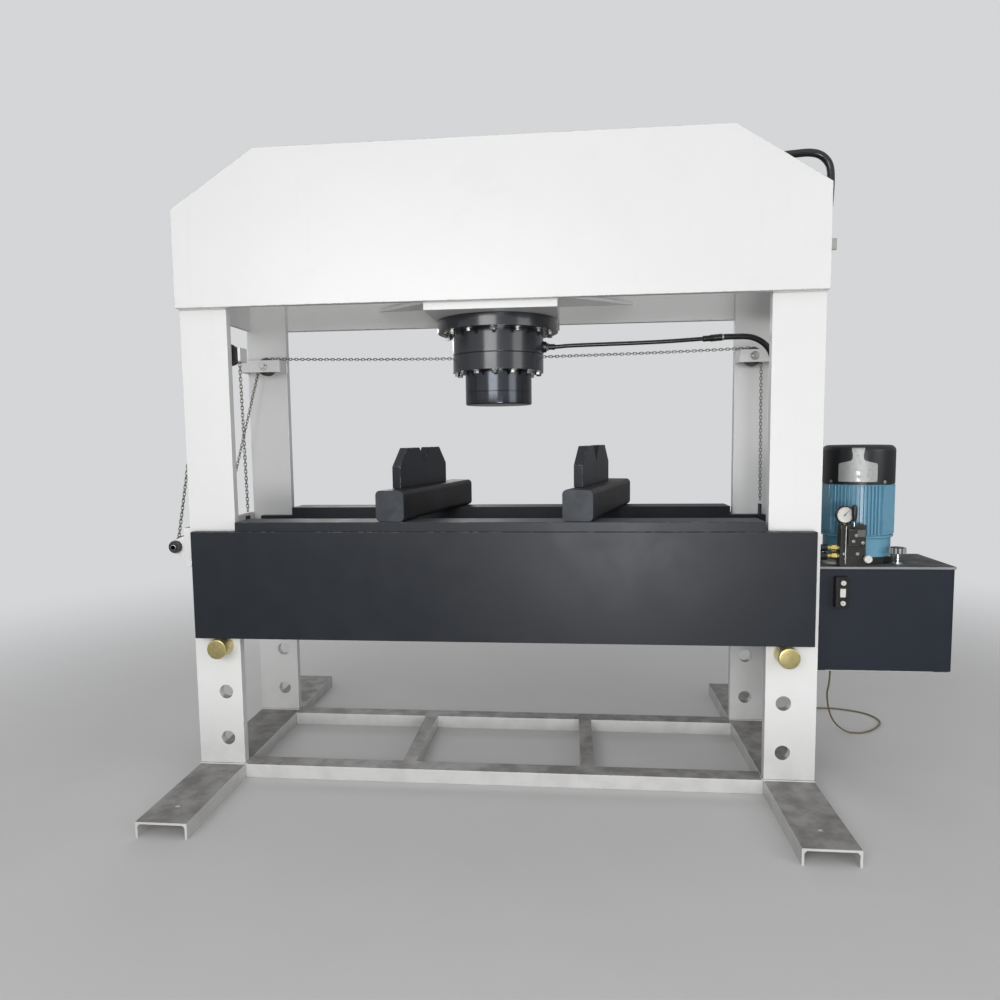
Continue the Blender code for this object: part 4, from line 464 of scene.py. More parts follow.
def eased(node, width=0.003, segments=2):
    """A copy of a node's shape with its edges rounded, in the frame's places."""
    bm = fresh()
    bm.from_mesh(NODES[node].data)
    bmesh.ops.remove_doubles(bm, verts=bm.verts, dist=0.00002)
    bmesh.ops.dissolve_limit(bm, angle_limit=math.radians(1.0), verts=bm.verts, edges=bm.edges)
    soften(bm, width, segments)
    bmesh.ops.translate(bm, vec=-TO_FRAME, verts=bm.verts)
    return bm


def placed(node):
    """A node's low and high corners in the press's places."""
    return [tuple(c - t for c, t in zip(corner, TO_FRAME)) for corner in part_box(node)]


def slab(points, push):
    """A flat outline of points, made thick by a push."""
    bm = fresh()
    near = [bm.verts.new(p) for p in points]
    far = [bm.verts.new(Vector(p) + Vector(push)) for p in points]
    bm.faces.new(near)
    bm.faces.new(far[::-1])
    for k in range(len(near)):
        bm.faces.new((near[k], near[k - 1], far[k - 1], far[k]))
    bmesh.ops.recalc_face_normals(bm, faces=bm.faces)
    return bm


def block(low, high):
    (x0, y0, z0), (x1, y1, z1) = low, high
    return slab([(x0, y0, z0), (x1, y0, z0), (x1, y1, z0), (x0, y1, z0)], (0, 0, z1 - z0))


def rounded(x0, x1, z0, z1, radius, steps=5):
    """The corners of a rounded rectangle, in order."""
    found = []
    for cx, cz, start in ((x1 - radius, z0 + radius, -90), (x1 - radius, z1 - radius, 0),
                          (x0 + radius, z1 - radius, 90), (x0 + radius, z0 + radius, 180)):
        for k in range(steps + 1):
            angle = math.radians(start + 90 * k / steps)
            found.append((cx + radius * math.cos(angle), cz + radius * math.sin(angle)))
    return found


def turned(line, centre, axis="Z", steps=64, closed=False):
    """Turns a line of (radius, height) points about an axis through centre."""
    bm = fresh()
    mark = bm.verts.layers.float["lathe"]
    rings, run = [], 0.0
    for k, (radius, height) in enumerate(line):
        if k:
            run += math.dist(line[k], line[k - 1])
        count = steps if radius > 1e-6 else 1
        ring = []
        for n in range(count):
            angle = 2 * math.pi * n / steps
            across, up = radius * math.cos(angle), radius * math.sin(angle)
            spot = {"Z": (across, up, height), "Y": (across, height, up), "X": (height, across, up)}[axis]
            vert = bm.verts.new(Vector(centre) + Vector(spot))
            vert[mark] = run
            ring.append(vert)
        rings.append(ring)
    pairs = list(zip(rings, rings[1:])) + ([(rings[-1], rings[0])] if closed else [])
    for a, b in pairs:
        for n in range(steps):
            after = (n + 1) % steps
            corners = [a[n % len(a)], a[after % len(a)], b[after % len(b)], b[n % len(b)]]
            corners = list(dict.fromkeys(corners))
            if len(corners) > 2:
                bm.faces.new(corners)
    return bm


def aimed(bm, start, end):
    """Moves a piece that stands at the origin along +Z so that it runs from start towards end."""
    turn = (Vector(end) - Vector(start)).to_track_quat("Z", "Y").to_matrix().to_4x4()
    bmesh.ops.transform(bm, matrix=Matrix.Translation(Vector(start)) @ turn, verts=bm.verts)
    return bm


def rod(start, end, radius, ease=0.001, steps=28):
    length = math.dist(start, end)
    line = [(0.0, 0.0), (radius - ease, 0.0), (radius - 0.3 * ease, 0.3 * ease), (radius, ease),
            (radius, length - ease), (radius - 0.3 * ease, length - 0.3 * ease), (radius - ease, length),
            (0.0, length)]
    return aimed(turned(line, (0, 0, 0), steps=steps), start, end)


def pour(shape, whole):
    """Moves a shape's faces into another shape."""
    spare = bpy.data.meshes.new("spare")
    shape.to_mesh(spare)
    shape.free()
    whole.from_mesh(spare)
    bpy.data.meshes.remove(spare)


def joined(*shapes):
    bm = fresh()
    for shape in shapes:
        pour(shape, bm)
    return bm


def hexagon(start, end, across, twist=0.0):
    """A six-sided head with its outer corners turned down."""
    length = math.dist(start, end)
    radius = across / math.sqrt(3)
    turn = [math.radians(60 * k) + twist for k in range(6)]
    bm = slab([(radius * math.cos(a), radius * math.sin(a), 0.0) for a in turn], (0, 0, length))
    corner = [v for v in bm.verts if v.co.z > length / 2]
    rim = [e for e in bm.edges if all(v in corner for v in e.verts)]
    bmesh.ops.bevel(bm, geom=rim, offset=0.07 * across, segments=2, profile=0.5, affect="EDGES", material=-1)
    return aimed(bm, start, end)


def bolt(spot, out, across, head, washer=0.003, twist=0.0):
    """A hexagon head on a washer, standing on spot and facing out."""
    spot, out = Vector(spot), Vector(out).normalized()
    ring = rod(spot - 0.001 * out, spot + washer * out, 0.98 * across, 0.0006, 32)
    return joined(ring, hexagon(spot + 0.8 * washer * out, spot + (washer + head) * out, across, twist))


def tube(points, radius, sides=10, closed=False):
    """A round bar along points; radius is one number or one for each point."""
    points = [Vector(p) for p in points]
    count = len(points)
    radii = radius if isinstance(radius, list) else [radius] * count
    bm = fresh()
    rings, side = [], None
    for k, p in enumerate(points):
        before = points[k - 1] if k or closed else p
        after = points[(k + 1) % count] if k < count - 1 or closed else p
        along = (after - before).normalized()
        if side is None:
            side = along.orthogonal().normalized()
        side = (side - along * side.dot(along)).normalized()
        cross = along.cross(side)
        turn = [2 * math.pi * n / sides for n in range(sides)]
        rings.append([bm.verts.new(p + radii[k] * (math.cos(a) * side + math.sin(a) * cross)) for a in turn])
    pairs = list(zip(rings, rings[1:])) + ([(rings[-1], rings[0])] if closed else [])
    for a, b in pairs:
        for n in range(sides):
            bm.faces.new((a[n], a[(n + 1) % sides], b[(n + 1) % sides], b[n]))
    if not closed:
        bm.faces.new(rings[0][::-1])
        bm.faces.new(rings[-1])
    return bm


def weld(start, end, radius=0.006):
    """A bead whose ripples are a few millimetres apart."""
    start, end = Vector(start), Vector(end)
    count = max(4, round((end - start).length / 0.0035))
    points, radii = [], []
    for k in range(count + 1):
        points.append(start.lerp(end, k / count) + Vector([random.uniform(-0.0004, 0.0004) for _ in range(3)]))
        radii.append(radius * (1.0 + (0.14 if k % 2 else -0.06) + random.uniform(-0.06, 0.06)))
    return tube(points, radii, 8)


def even_path(points, spacing):
    lengths = [0.0]
    for a, b in zip(points, points[1:]):
        lengths.append(lengths[-1] + (b - a).length)
    count = max(2, round(lengths[-1] / spacing))
    found, i = [], 0
    for k in range(count + 1):
        s = lengths[-1] * k / count
        while i < len(points) - 2 and lengths[i + 1] < s:
            i += 1
        t = (s - lengths[i]) / max(lengths[i + 1] - lengths[i], 1e-9)
        found.append(points[i].lerp(points[i + 1], min(1.0, t)))
    return found


def smooth_path(points, spacing):
    """Points at an even spacing along a smooth curve through the points given."""
    anchors = [Vector(p) for p in points]
    anchors = [2 * anchors[0] - anchors[1]] + anchors + [2 * anchors[-1] - anchors[-2]]
    fine = []
    for i in range(1, len(anchors) - 2):
        a, b, c, d = anchors[i - 1:i + 3]
        for k in range(24):
            t = k / 24
            fine.append(0.5 * ((2 * b) + (c - a) * t + (2 * a - 5 * b + 4 * c - d) * t * t
                               + (3 * b - a - 3 * c + d) * t * t * t))
    fine.append(anchors[-2])
    return even_path(fine, spacing)


def length_of(points):
    return sum((b - a).length for a, b in zip(points, points[1:]))


# Pieces

def piece(name, body, *parts, replaces=(), smooth=26.0):
    """One object made of parts, each a mesh or a list of meshes, and the look it has."""
    looks, whole = [], fresh()
    for shape, look in parts:
        bm = joined(*shape) if isinstance(shape, list) else shape
        if look not in looks:
            looks.append(look)
        bmesh.ops.recalc_face_normals(bm, faces=bm.faces)
        for face in bm.faces:
            face.material_index = looks.index(look)
            face.smooth = True
        pour(bm, whole)
    bmesh.ops.translate(whole, vec=TO_FRAME, verts=whole.verts)
    mesh = bpy.data.meshes.new(name)
    whole.to_mesh(mesh)
    whole.free()
    mesh.set_sharp_from_angle(angle=math.radians(smooth))
    for look in looks:
        mesh.materials.append(LOOKS[look])
    made = bpy.data.objects.new(name, mesh)
    bpy.context.collection.objects.link(made)
    level = made.modifiers.new("level_faces", "WEIGHTED_NORMAL")
    level.keep_sharp = True
    declare(made, body, replaces)
    return made


def declare(made, body, replaces):
    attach(made, body)
    if replaces:
        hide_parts(*replaces)


def hose(name, points, radius, look, body="frame", replaces=()):
    """A round hose or cable along points of the press."""
    data = bpy.data.curves.new(name, "CURVE")
    data.dimensions = "3D"
    data.bevel_depth = radius
    data.bevel_resolution = 6
    data.resolution_u = 1
    data.use_fill_caps = True
    spline = data.splines.new("POLY")
    spline.points.add(len(points) - 1)
    for target, p in zip(spline.points, points):
        target.co = (*(p + TO_FRAME), 1.0)
    spline.use_smooth = True
    data.materials.append(LOOKS[look])
    made = bpy.data.objects.new(name, data)
    bpy.context.collection.objects.link(made)
    declare(made, body, replaces)
    return made


# The camera and the cords come first

make_camera()


def supply_lead():
    """The cable from the motor's terminal box to the coil on the floor, and the plug that lies on the coil."""
    gland = (1.915, 0.665, 1.3337)
    tail_y = COIL_Y - COIL_TURN
    loop = [gland, (1.915, 0.665, 1.25), (1.913, 0.665, 0.90), (1.905, 0.665, 0.42), (1.906, 0.705, 0.275),
            (1.945, 0.750, 0.137), (2.010, 0.790, 0.050), (2.086, 0.815, CABLE_LIE), (2.150, 0.815, CABLE_LIE),
            (2.232, 0.863, CABLE_LIE), (2.307, 0.946, CABLE_LIE), (2.336, 1.020, CABLE_LIE),
            (2.318, 1.100, CABLE_LIE), (2.270, 1.155, CABLE_LIE), (2.201, 1.190, CABLE_LIE),
            (2.122, tail_y, CABLE_LIE), (2.070, tail_y, CABLE_LIE)]
    for k in range(1, 7):
        loop.append((2.070 - (2.070 - COIL_X) * k / 6, tail_y, CABLE_LIE))
    points = smooth_path(loop, 0.012)
    for p in points:
        p.z = max(p.z, CABLE_LIE)
    turns, steps, first_layer = 5.3, 28, 2.35
    inner, outer = COIL_TURN - 0.0100, COIL_TURN + 0.0095
    coil = []
    for k in range(1, round(turns * steps) + 1):
        t = k / steps
        angle = -math.pi / 2 - 2 * math.pi * t
        layer = min(1.0, max(0.0, (t - first_layer) / 0.45))
        swing = COIL_TURN - 0.0105 * min(t, 1.0) + 0.0101 * max(0.0, min(t, first_layer) - 1.0) * 0.75
        if t > first_layer:
            swing = outer - 0.0085 * (t - first_layer) * (1.0 if t < 4.8 else 0.98)
        radius = min(outer, max(inner - 0.004, swing))
        coil.append(Vector((COIL_X + radius * math.cos(angle), COIL_Y + radius * math.sin(angle),
                            CABLE_LIE + 0.0104 * layer)))
    points = points + coil
    lead = hose("supply_lead", points, CABLE_DIAMETER / 2, "cable_olive",
                replaces=("supply_cable", "cable_coil"))
    line = [(0.0, 0.0), (0.023, 0.0), (0.0255, 0.002), (0.026, 0.005), (0.026, 0.040), (0.0286, 0.042),
            (0.029, 0.044), (0.029, 0.050), (0.0286, 0.052), (0.019, 0.060), (0.0175, 0.064)]
    for k in range(5):
        low = 0.066 + 0.009 * k
        wide = 0.0165 - 0.0013 * k
        line += [(wide, low), (wide, low + 0.005), (wide - 0.0028, low + 0.006), (wide - 0.0028, low + 0.008)]
    line += [(0.0085, 0.111), (0.0065, 0.112), (0.0, 0.112)]
    spot = (COIL_X - 0.056, COIL_Y, 0.021 + GAP + 0.0265)
    pins = [rod((spot[0] + 0.001, COIL_Y + dy, spot[2] + dz), (spot[0] - 0.012, COIL_Y + dy, spot[2] + dz),
                0.0024, 0.0008, 12) for dy, dz in ((0.0095, 0.004), (-0.0095, 0.004), (0.0, -0.0105))]
    plug = piece("supply_plug_body", "frame", (turned(line, spot, "X", 40), "plastic_black"),
                 (pins, "bolt_steel"), replaces=("supply_plug",))
    round(length_of(points), 2)


supply_lead()


# The frame

def frame_pieces():
    rows = [(f"column_{corner}", f"column_{corner}_plate", 0.0025) for corner in CORNERS]
    rows += [(f"foot_{side}", f"foot_{side}_channel", 0.003) for side in ("left", "right")]
    rows += [("base_frame", "base_beams", 0.003), ("crown_front_plate", "crown_front_plate_cut", 0.003),
             ("crown_rear_plate", "crown_rear_plate_cut", 0.003), ("cylinder_mount", "cylinder_mount_box", 0.002),
             ("pack_support", "pack_arms", 0.002), ("winch_bar", "winch_plate", 0.0025)]
    for node, name, ease in rows:
        piece(name, "frame", (eased(node, ease), "frame_white"), replaces=(node,))


def frame_welds():
    """Beads along the joints that show: feet, base beams, crown and columns."""
    beads = []
    for side in (-1, 1):
        for y in (0.0, COLUMN_THICKNESS, REAR, BACK):
            out = -0.001 if y in (0.0, REAR) else 0.001
            beads.append(weld((side * COLUMN_INNER, y + out, FOOT_TOP), (side * COLUMN_OUTER, y + out, FOOT_TOP)))
        beads.append(weld((side * (COLUMN_INNER - 0.001), 0.002, FOOT_TOP),
                          (side * (COLUMN_INNER - 0.001), COLUMN_THICKNESS, FOOT_TOP)))
        for y in (-GAP, BACK + GAP):
            beads.append(weld((side * COLUMN_OUTER, y, CROWN_BOTTOM), (side * COLUMN_INNER, y, CROWN_BOTTOM), 0.005))
    piece("frame_welds", "frame", (beads, "frame_white"), smooth=60.0)


# The bed, its bars and its V plates

def bed_pieces():
    for name in ("bed_front_outer_plate", "bed_front_inner_plate", "bed_rear_inner_plate", "bed_rear_outer_plate",
                 "bed_front_flat"):
        piece(name + "_cut", "bed", (eased(name, 0.003), "bed_slate"), replaces=(name,))
    for name in ("v_plate_left", "v_plate_right"):
        piece(name + "_cut", "bed", (eased(name, 0.003, 3), "bed_slate"), replaces=(name,))


def loose_bar(name, x, skew):
    """A square bar with rolled corners; its sawn ends are lighter than its sides, partly as bare steel and partly as a
    painted highlight, and a little rough.
    """
    size, length, corner, sawn = 0.158, 1.0, 0.025, 0.0012
    front, bed_top = -0.065, 1.400
    base = Vector((x, front + size / 2 * math.sin(skew), bed_top + GAP))
    turn = Matrix.Translation(base) @ Matrix.Rotation(-skew, 4, "Z")
    outline = rounded(-size / 2, size / 2, 0.0, size, corner, 6)
    sides, ends = fresh(), fresh()
    rows = []
    for y, inset in ((0.0, sawn), (sawn, 0.0), (length - sawn, 0.0), (length, sawn)):
        scale = (size - 2 * inset) / size
        rows.append([turn @ Vector((px * scale, y, size / 2 + (pz - size / 2) * scale)) for px, pz in outline])
    rings = [[sides.verts.new(p) for p in row] for row in rows]
    for a, b in zip(rings, rings[1:]):
        for k in range(len(a)):
            sides.faces.new((a[k - 1], a[k], b[k], b[k - 1]))
    for row in (rows[0], rows[-1]):
        ends.faces.new([ends.verts.new(p) for p in row])
    piece(name + "_rolled", "bed", (sides, "bar_dark"), (ends, "sawn_end"), replaces=(name,), smooth=35.0)


# The cylinder

def cylinder_pieces():
    axis = (0.0, MIDDLE_Y, 0.0)
    low, top, r, bore, roof = BARREL_BOTTOM, 3.110, BARREL_RADIUS, 0.205, 3.050
    line = [(0.0, roof), (bore, roof), (bore, low), *turned_corner(r, low), (r, top - 0.010),
            (r - 0.003, top - 0.003), (r - 0.010, top), (0.0, top)]
    port = [rod((r - 0.006, MIDDLE_Y, PORT_Z), (r + 0.018, MIDDLE_Y, PORT_Z), 0.030, 0.002, 36),
            weld_ring((r - 0.001, MIDDLE_Y, PORT_Z), 0.031, 0.0035)]
    piece("barrel_turned", "frame", (turned(line, axis, steps=128), "cylinder_black"),
          (port, "cylinder_black"),
          (hexagon((r + 0.017, MIDDLE_Y, PORT_Z), (r + 0.030, MIDDLE_Y, PORT_Z), 0.040), "bolt_steel"),
          replaces=("cylinder_barrel",), smooth=40.0)

    inner = r + GAP
    line = [(inner, FLANGE_BOTTOM + 0.002), (inner + 0.002, FLANGE_BOTTOM),
            *turned_corner(FLANGE_RADIUS, FLANGE_BOTTOM), *reversed(turned_corner(FLANGE_RADIUS, FLANGE_TOP, -1)),
            (inner, FLANGE_TOP)]
    bolts = bolt_circle(FLANGE_BOLTS_AT, FLANGE_BOTTOM)
    piece("flange_turned", "frame", (turned(line, axis, steps=128, closed=True), "cylinder_black"),
          (bolts, "bolt_dark"), replaces=("cylinder_flange",), smooth=40.0)


def turned_corner(radius, level, up=1):
    """The outer corner of a turned part, rounded, from its end face to its side."""
    return [(radius - 0.004, level), (radius - 0.0012, level + up * 0.0012), (radius, level + up * 0.004)]


def bolt_circle(radius, level):
    """Bolts round the cylinder that face down, each turned by chance."""
    bolts = []
    for k in range(CYLINDER_BOLTS):
        angle = -math.pi / 2 + 2 * math.pi * k / CYLINDER_BOLTS
        spot = (radius * math.cos(angle), MIDDLE_Y + radius * math.sin(angle), level)
        bolts.append(bolt(spot, (0, 0, -1), 0.026, 0.0155, 0.003, random.uniform(0, 1)))
    return bolts


def weld_ring(centre, radius, thick):
    """A bead round a pipe that runs along x, closed on itself."""
    count = max(24, round(2 * math.pi * radius / 0.0035))
    points, radii = [], []
    for k in range(count):
        a = 2 * math.pi * k / count
        points.append(Vector(centre) + Vector((0.0, radius * math.cos(a), radius * math.sin(a))))
        radii.append(thick * (1.0 + (0.12 if k % 2 else -0.06)))
    return tube(points, radii, 8, closed=True)


def gland_and_ram():
    axis = (0.0, MIDDLE_Y, 0.0)
    bore, r, top, low = RAM_RADIUS + GAP, BARREL_RADIUS, BARREL_BOTTOM - GAP, GLAND_BOTTOM
    line = [(bore, top), (bore, low + 0.003), (bore + 0.003, low), *turned_corner(r, low), (r, top - 0.002),
            (r - 0.002, top)]
    bolts = bolt_circle(GLAND_BOLTS_AT, low)
    piece("gland_turned", "frame", (turned(line, axis, steps=128, closed=True), "cylinder_black"),
          (bolts, "bolt_dark"), replaces=("cylinder_gland",), smooth=40.0)

    r, low = RAM_RADIUS, RAM_BOTTOM
    line = [(0.0, low), (r - 0.009, low), (r - 0.003, low + 0.002), (r, low + 0.008), (r, 2.0675), (r - 0.002, 2.069),
            (r - 0.002, 2.071), (r, 2.0725), (r, 2.950), (0.2047, 2.950), (0.2047, 3.030), (0.0, 3.030)]
    piece("ram_ground", "ram", (turned(line, axis, steps=128), "ram_chrome"), replaces=("ram",), smooth=35.0)


# The lifting gear

def bracket(name, x0, x1, wall, depth, out, bolts):
    """A strap bent round its pulleys, with the pulleys' bolts through its face."""
    low, high, thick, arc, steps = 2.234, 2.306, 0.010, 0.012, 5
    far = wall + out * depth
    outer = [(x0, wall), (x0, far - out * arc)]
    inner = [(x0 + thick, wall), (x0 + thick, far - out * arc)]
    for k in range(1, steps + 1):
        a = math.pi / 2 * k / steps
        outer.append((x0 + arc - arc * math.cos(a), far - out * arc + out * arc * math.sin(a)))
        inner.append((x0 + arc - (arc - thick) * math.cos(a), far - out * arc + out * (arc - thick) * math.sin(a)))
    outer += [(x0 + x1 - x, y) for x, y in reversed(outer)]
    inner += [(x0 + x1 - x, y) for x, y in reversed(inner)]
    strap = fresh()
    verts = [[strap.verts.new((x, y, z)) for z in (low, high)] for x, y in outer]
    backs = [[strap.verts.new((x, y, z)) for z in (low, high)] for x, y in inner]
    for k in range(len(outer) - 1):
        a, b, c, d = verts[k], verts[k + 1], backs[k], backs[k + 1]
        strap.faces.new((a[0], a[1], b[1], b[0]))
        strap.faces.new((c[0], d[0], d[1], c[1]))
        strap.faces.new((a[1], c[1], d[1], b[1]))
        strap.faces.new((a[0], b[0], d[0], c[0]))
    for k in (0, -1):
        strap.faces.new((verts[k][0], backs[k][0], backs[k][1], verts[k][1]))
    bmesh.ops.recalc_face_normals(strap, faces=strap.faces)
    soften(strap, 0.0015, 2, 40.0)
    heads, pins = [], []
    for x in bolts:
        heads.append(bolt((x, far, SHEAVE_Z), (0, out, 0), 0.026, 0.012, 0.004, 0.4 + x))
        pins.append(rod((x, wall + out * GAP, SHEAVE_Z), (x, far + out * 0.001, SHEAVE_Z), 0.010))
    beads = [weld((x, wall + out * 0.001, low + 0.002), (x, wall + out * 0.001, high - 0.002), 0.004)
             for x in (x0 - 0.001, x1 + 0.001)]
    piece(name + "_strap", "frame", (strap, "frame_white"), (beads, "frame_white"),
          (heads, "bolt_steel"), (pins, "dark_steel"), replaces=(name,), smooth=32.0)


def both_ways(half):
    """A line of (radius, height) points that is the same above and below, from its upper half."""
    return [(radius, -height) for radius, height in reversed(half)] + half


def sheave(name, x):
    """A pulley whose rim and groove are turned; the chain's links lie in its groove."""
    low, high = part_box(name)
    half, boss = SHEAVE_WIDTH / 2, (high.y - low.y) / 2
    middle = (low.y + high.y) / 2 - TO_FRAME.y
    bore, core, rim = 0.0103, SHEAVE_CORE, SHEAVE_RIM
    line = both_ways([(core, half - 0.013), (core + 0.003, half - 0.010), (rim - 0.0012, half - 0.006),
                      (rim, half - 0.0045), (rim, half - 0.0015), (rim - 0.0015, half), (0.019, half),
                      (0.019, boss - 0.001), (0.018, boss), (bore, boss)])
    piece(name + "_turned", name, (turned(line, (x, middle, SHEAVE_Z), "Y", 48, closed=True), "dark_steel"),
          replaces=(name,), smooth=35.0)


LINK_WIRE = 0.0052
LINK_PITCH = 0.019
LINK_WIDTH = 0.0185


def links(points, side):
    """Welded links along a line, each turned a quarter from the one before; side lies across the line."""
    bend = (LINK_WIDTH - LINK_WIRE) / 2
    straight = (LINK_PITCH + LINK_WIRE) / 2 - bend
    centres = even_path([Vector(p) for p in points], LINK_PITCH)
    bm = fresh()
    for k in range(len(centres) - 1):
        a, b = centres[k], centres[k + 1]
        along = (b - a).normalized()
        flat = (Vector(side) - along * along.dot(Vector(side))).normalized()
        if k % 2:
            flat = along.cross(flat)
        middle = (a + b) / 2
        around = []
        for n in range(12):
            angle = 2 * math.pi * (n + 0.5) / 12
            reach = straight if math.cos(angle) > 0 else -straight
            around.append(middle + along * (bend * math.cos(angle) + reach) + flat * bend * math.sin(angle))
        pour(tube(around, LINK_WIRE / 2, 6, closed=True), bm)
    return bm


def arc_points(cx, cz, radius, start, end, y, count):
    """Points round a pulley that lies in the x and z directions; the angles run from the left, clockwise."""
    found = []
    for k in range(count + 1):
        a = math.radians(start + (end - start) * k / count)
        found.append((cx - radius * math.cos(a), y, cz + radius * math.sin(a)))
    return found


def chains():
    down = SHEAVE_Z - 0.004
    for name, top, low, side in (
            ("chain_left", (-1.3419, FRONT_SHEAVE_Y, down), (-1.347, 0.127, 1.4385), (1, 0, 0)),
            ("chain_right", (1.5001, REAR_SHEAVE_Y, down), (1.5001, 0.712, 1.4385), (1, 0, 0))):
        run = piece(name + "_links", "frame", (links([top, low], side), "chain_zinc"), replaces=(name,), smooth=60.0)
        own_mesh(run)
    inner, outer = FRONT_SHEAVES
    r = CHAIN_ON_SHEAVE
    front = arc_points(inner, SHEAVE_Z, r, 180, 90, FRONT_SHEAVE_Y, 8)
    front += arc_points(outer, SHEAVE_Z, r, 90, 0, FRONT_SHEAVE_Y, 8)
    front += spool_turn(FRONT_SHEAVE_Y)
    piece("chain_front_links", "frame", (links(front, (0, 1, 0)), "chain_zinc"), replaces=("chain_front",),
          smooth=60.0)
    left, right = REAR_SHEAVES
    rear = arc_points(right, SHEAVE_Z, r, 180, 90, REAR_SHEAVE_Y, 8)
    a, b = Vector(rear[-1]), Vector((left, REAR_SHEAVE_Y, SHEAVE_Z + r))
    for k in range(1, 40):
        t = k / 40
        p = a.lerp(b, t)
        rear.append((p.x, p.y, p.z - 0.025 * 4 * t * (1 - t)))
    rear += arc_points(left, SHEAVE_Z, r, 90, 0, REAR_SHEAVE_Y, 8)
    rear += spool_turn(REAR_SPOOL_Y)
    piece("chain_cross_links", "frame", (links(rear, (0, 1, 0)), "chain_zinc"), replaces=("chain_cross",),
          smooth=60.0)


def spool_turn(y):
    """The chain down to its spool and round it."""
    return arc_points(SHAFT_X, SHAFT_Z, 0.0363, 0, -234, y, 24)


def winding():
    """The shaft with its two spools, its bearings' collars and the hub that a crank would fit."""
    (_, start, _), (_, end, _) = placed("winding_shaft")
    shapes = [rod((SHAFT_X, start, SHAFT_Z), (SHAFT_X, end, SHAFT_Z), 0.0125, 0.001, 32)]
    bore = 0.0128
    hub = [(bore, 0.012), (0.0285, 0.012), (0.0315, 0.0135), (0.033, 0.0165), (0.033, 0.033), (0.0325, 0.034),
           (bore, 0.034)]
    shapes.append(turned(hub, (SHAFT_X, start, SHAFT_Z), "Y", 48, closed=True))
    for y in (FRONT_SHEAVE_Y, REAR_SPOOL_Y):
        line = both_ways([(0.025, 0.012), (0.026, 0.014), (0.046, 0.0145), (0.048, 0.016), (0.048, 0.019),
                          (0.047, 0.020), (bore, 0.020)])
        shapes.append(turned(line, (SHAFT_X, y, SHAFT_Z), "Y", 48, closed=True))
    tip = rod((SHAFT_X, start, SHAFT_Z), (SHAFT_X, start + 0.0118, SHAFT_Z), 0.0145, 0.002, 32)
    piece("winding_shaft_turned", "winding_shaft", (shapes, "dark_steel"), (tip, "bolt_steel"),
          replaces=("winding_shaft",), smooth=35.0)


# The power pack

def tank_pieces():
    x0, x1, y0, y1 = TANK_LEFT, TANK_RIGHT, TANK_FRONT, TANK_BACK
    side = slab([(x, y, TANK_BOTTOM) for x, y in rounded(x0, x1, y0, y1, 0.014, 8)],
                (0, 0, TANK_TOP - TANK_BOTTOM - 0.0065))
    over = 0.006
    lid = slab([(x, y, TANK_TOP - over) for x, y in rounded(x0, x1 + over, y0 - over, y1 + over, 0.014, 8)],
               (0, 0, 0.012))
    soften(lid, 0.0015, 2, 50.0)
    y, z = y0 - 0.0002, TANK_BOTTOM + 0.001
    seams = [weld((start, y, z), (end, y, z), 0.003)
             for start, end in ((x1 - 0.090, x1 - 0.020), (x0 + 0.020, x0 + 0.090))]
    cap = turned([(0.0, -0.002), (0.044, -0.002), (0.044, 0.0095), (0.0428, 0.012), (0.040, 0.0135), (0.030, 0.014),
                  (0.028, 0.0125), (0.0, 0.0125)], (1.772, 0.312, LID_TOP), "Z", 48)
    piece("tank_shell", "frame", (side, "tank_slate"), (lid, "lid_edge"), (seams, "tank_slate"),
          (cap, "clamp_grey"), replaces=("oil_tank",), smooth=32.0)


def motor_outline(fins, pads, inner, outer, pad_half):
    """A round body's outline with fins and four flat pads, as (angle, radius) pairs in order."""
    reach = math.sqrt(outer ** 2 - pad_half ** 2)
    spread = math.degrees(math.atan2(pad_half, reach))
    step = 360.0 / fins
    around = []
    for k in range(fins):
        middle = (k + 0.5) * step
        away = min(abs((middle - pad + 180) % 360 - 180) for pad in pads)
        if away < spread + 0.45 * step:
            continue
        for offset, radius in ((-0.30, inner), (-0.20, outer - 0.0012), (-0.14, outer), (0.14, outer),
                               (0.20, outer - 0.0012), (0.30, inner)):
            around.append((middle + offset * step, radius))
    for pad in pads:
        for sign in (-1, 1):
            around.append((pad + sign * (spread + 0.6), inner))
            around.append((pad + sign * spread, outer))
    return sorted((a % 360, r) for a, r in around)


PAD_ANGLES = (11.5, 126.9, 191.5, 306.9)
PAD_HALF = 0.047
FACING = -110.8


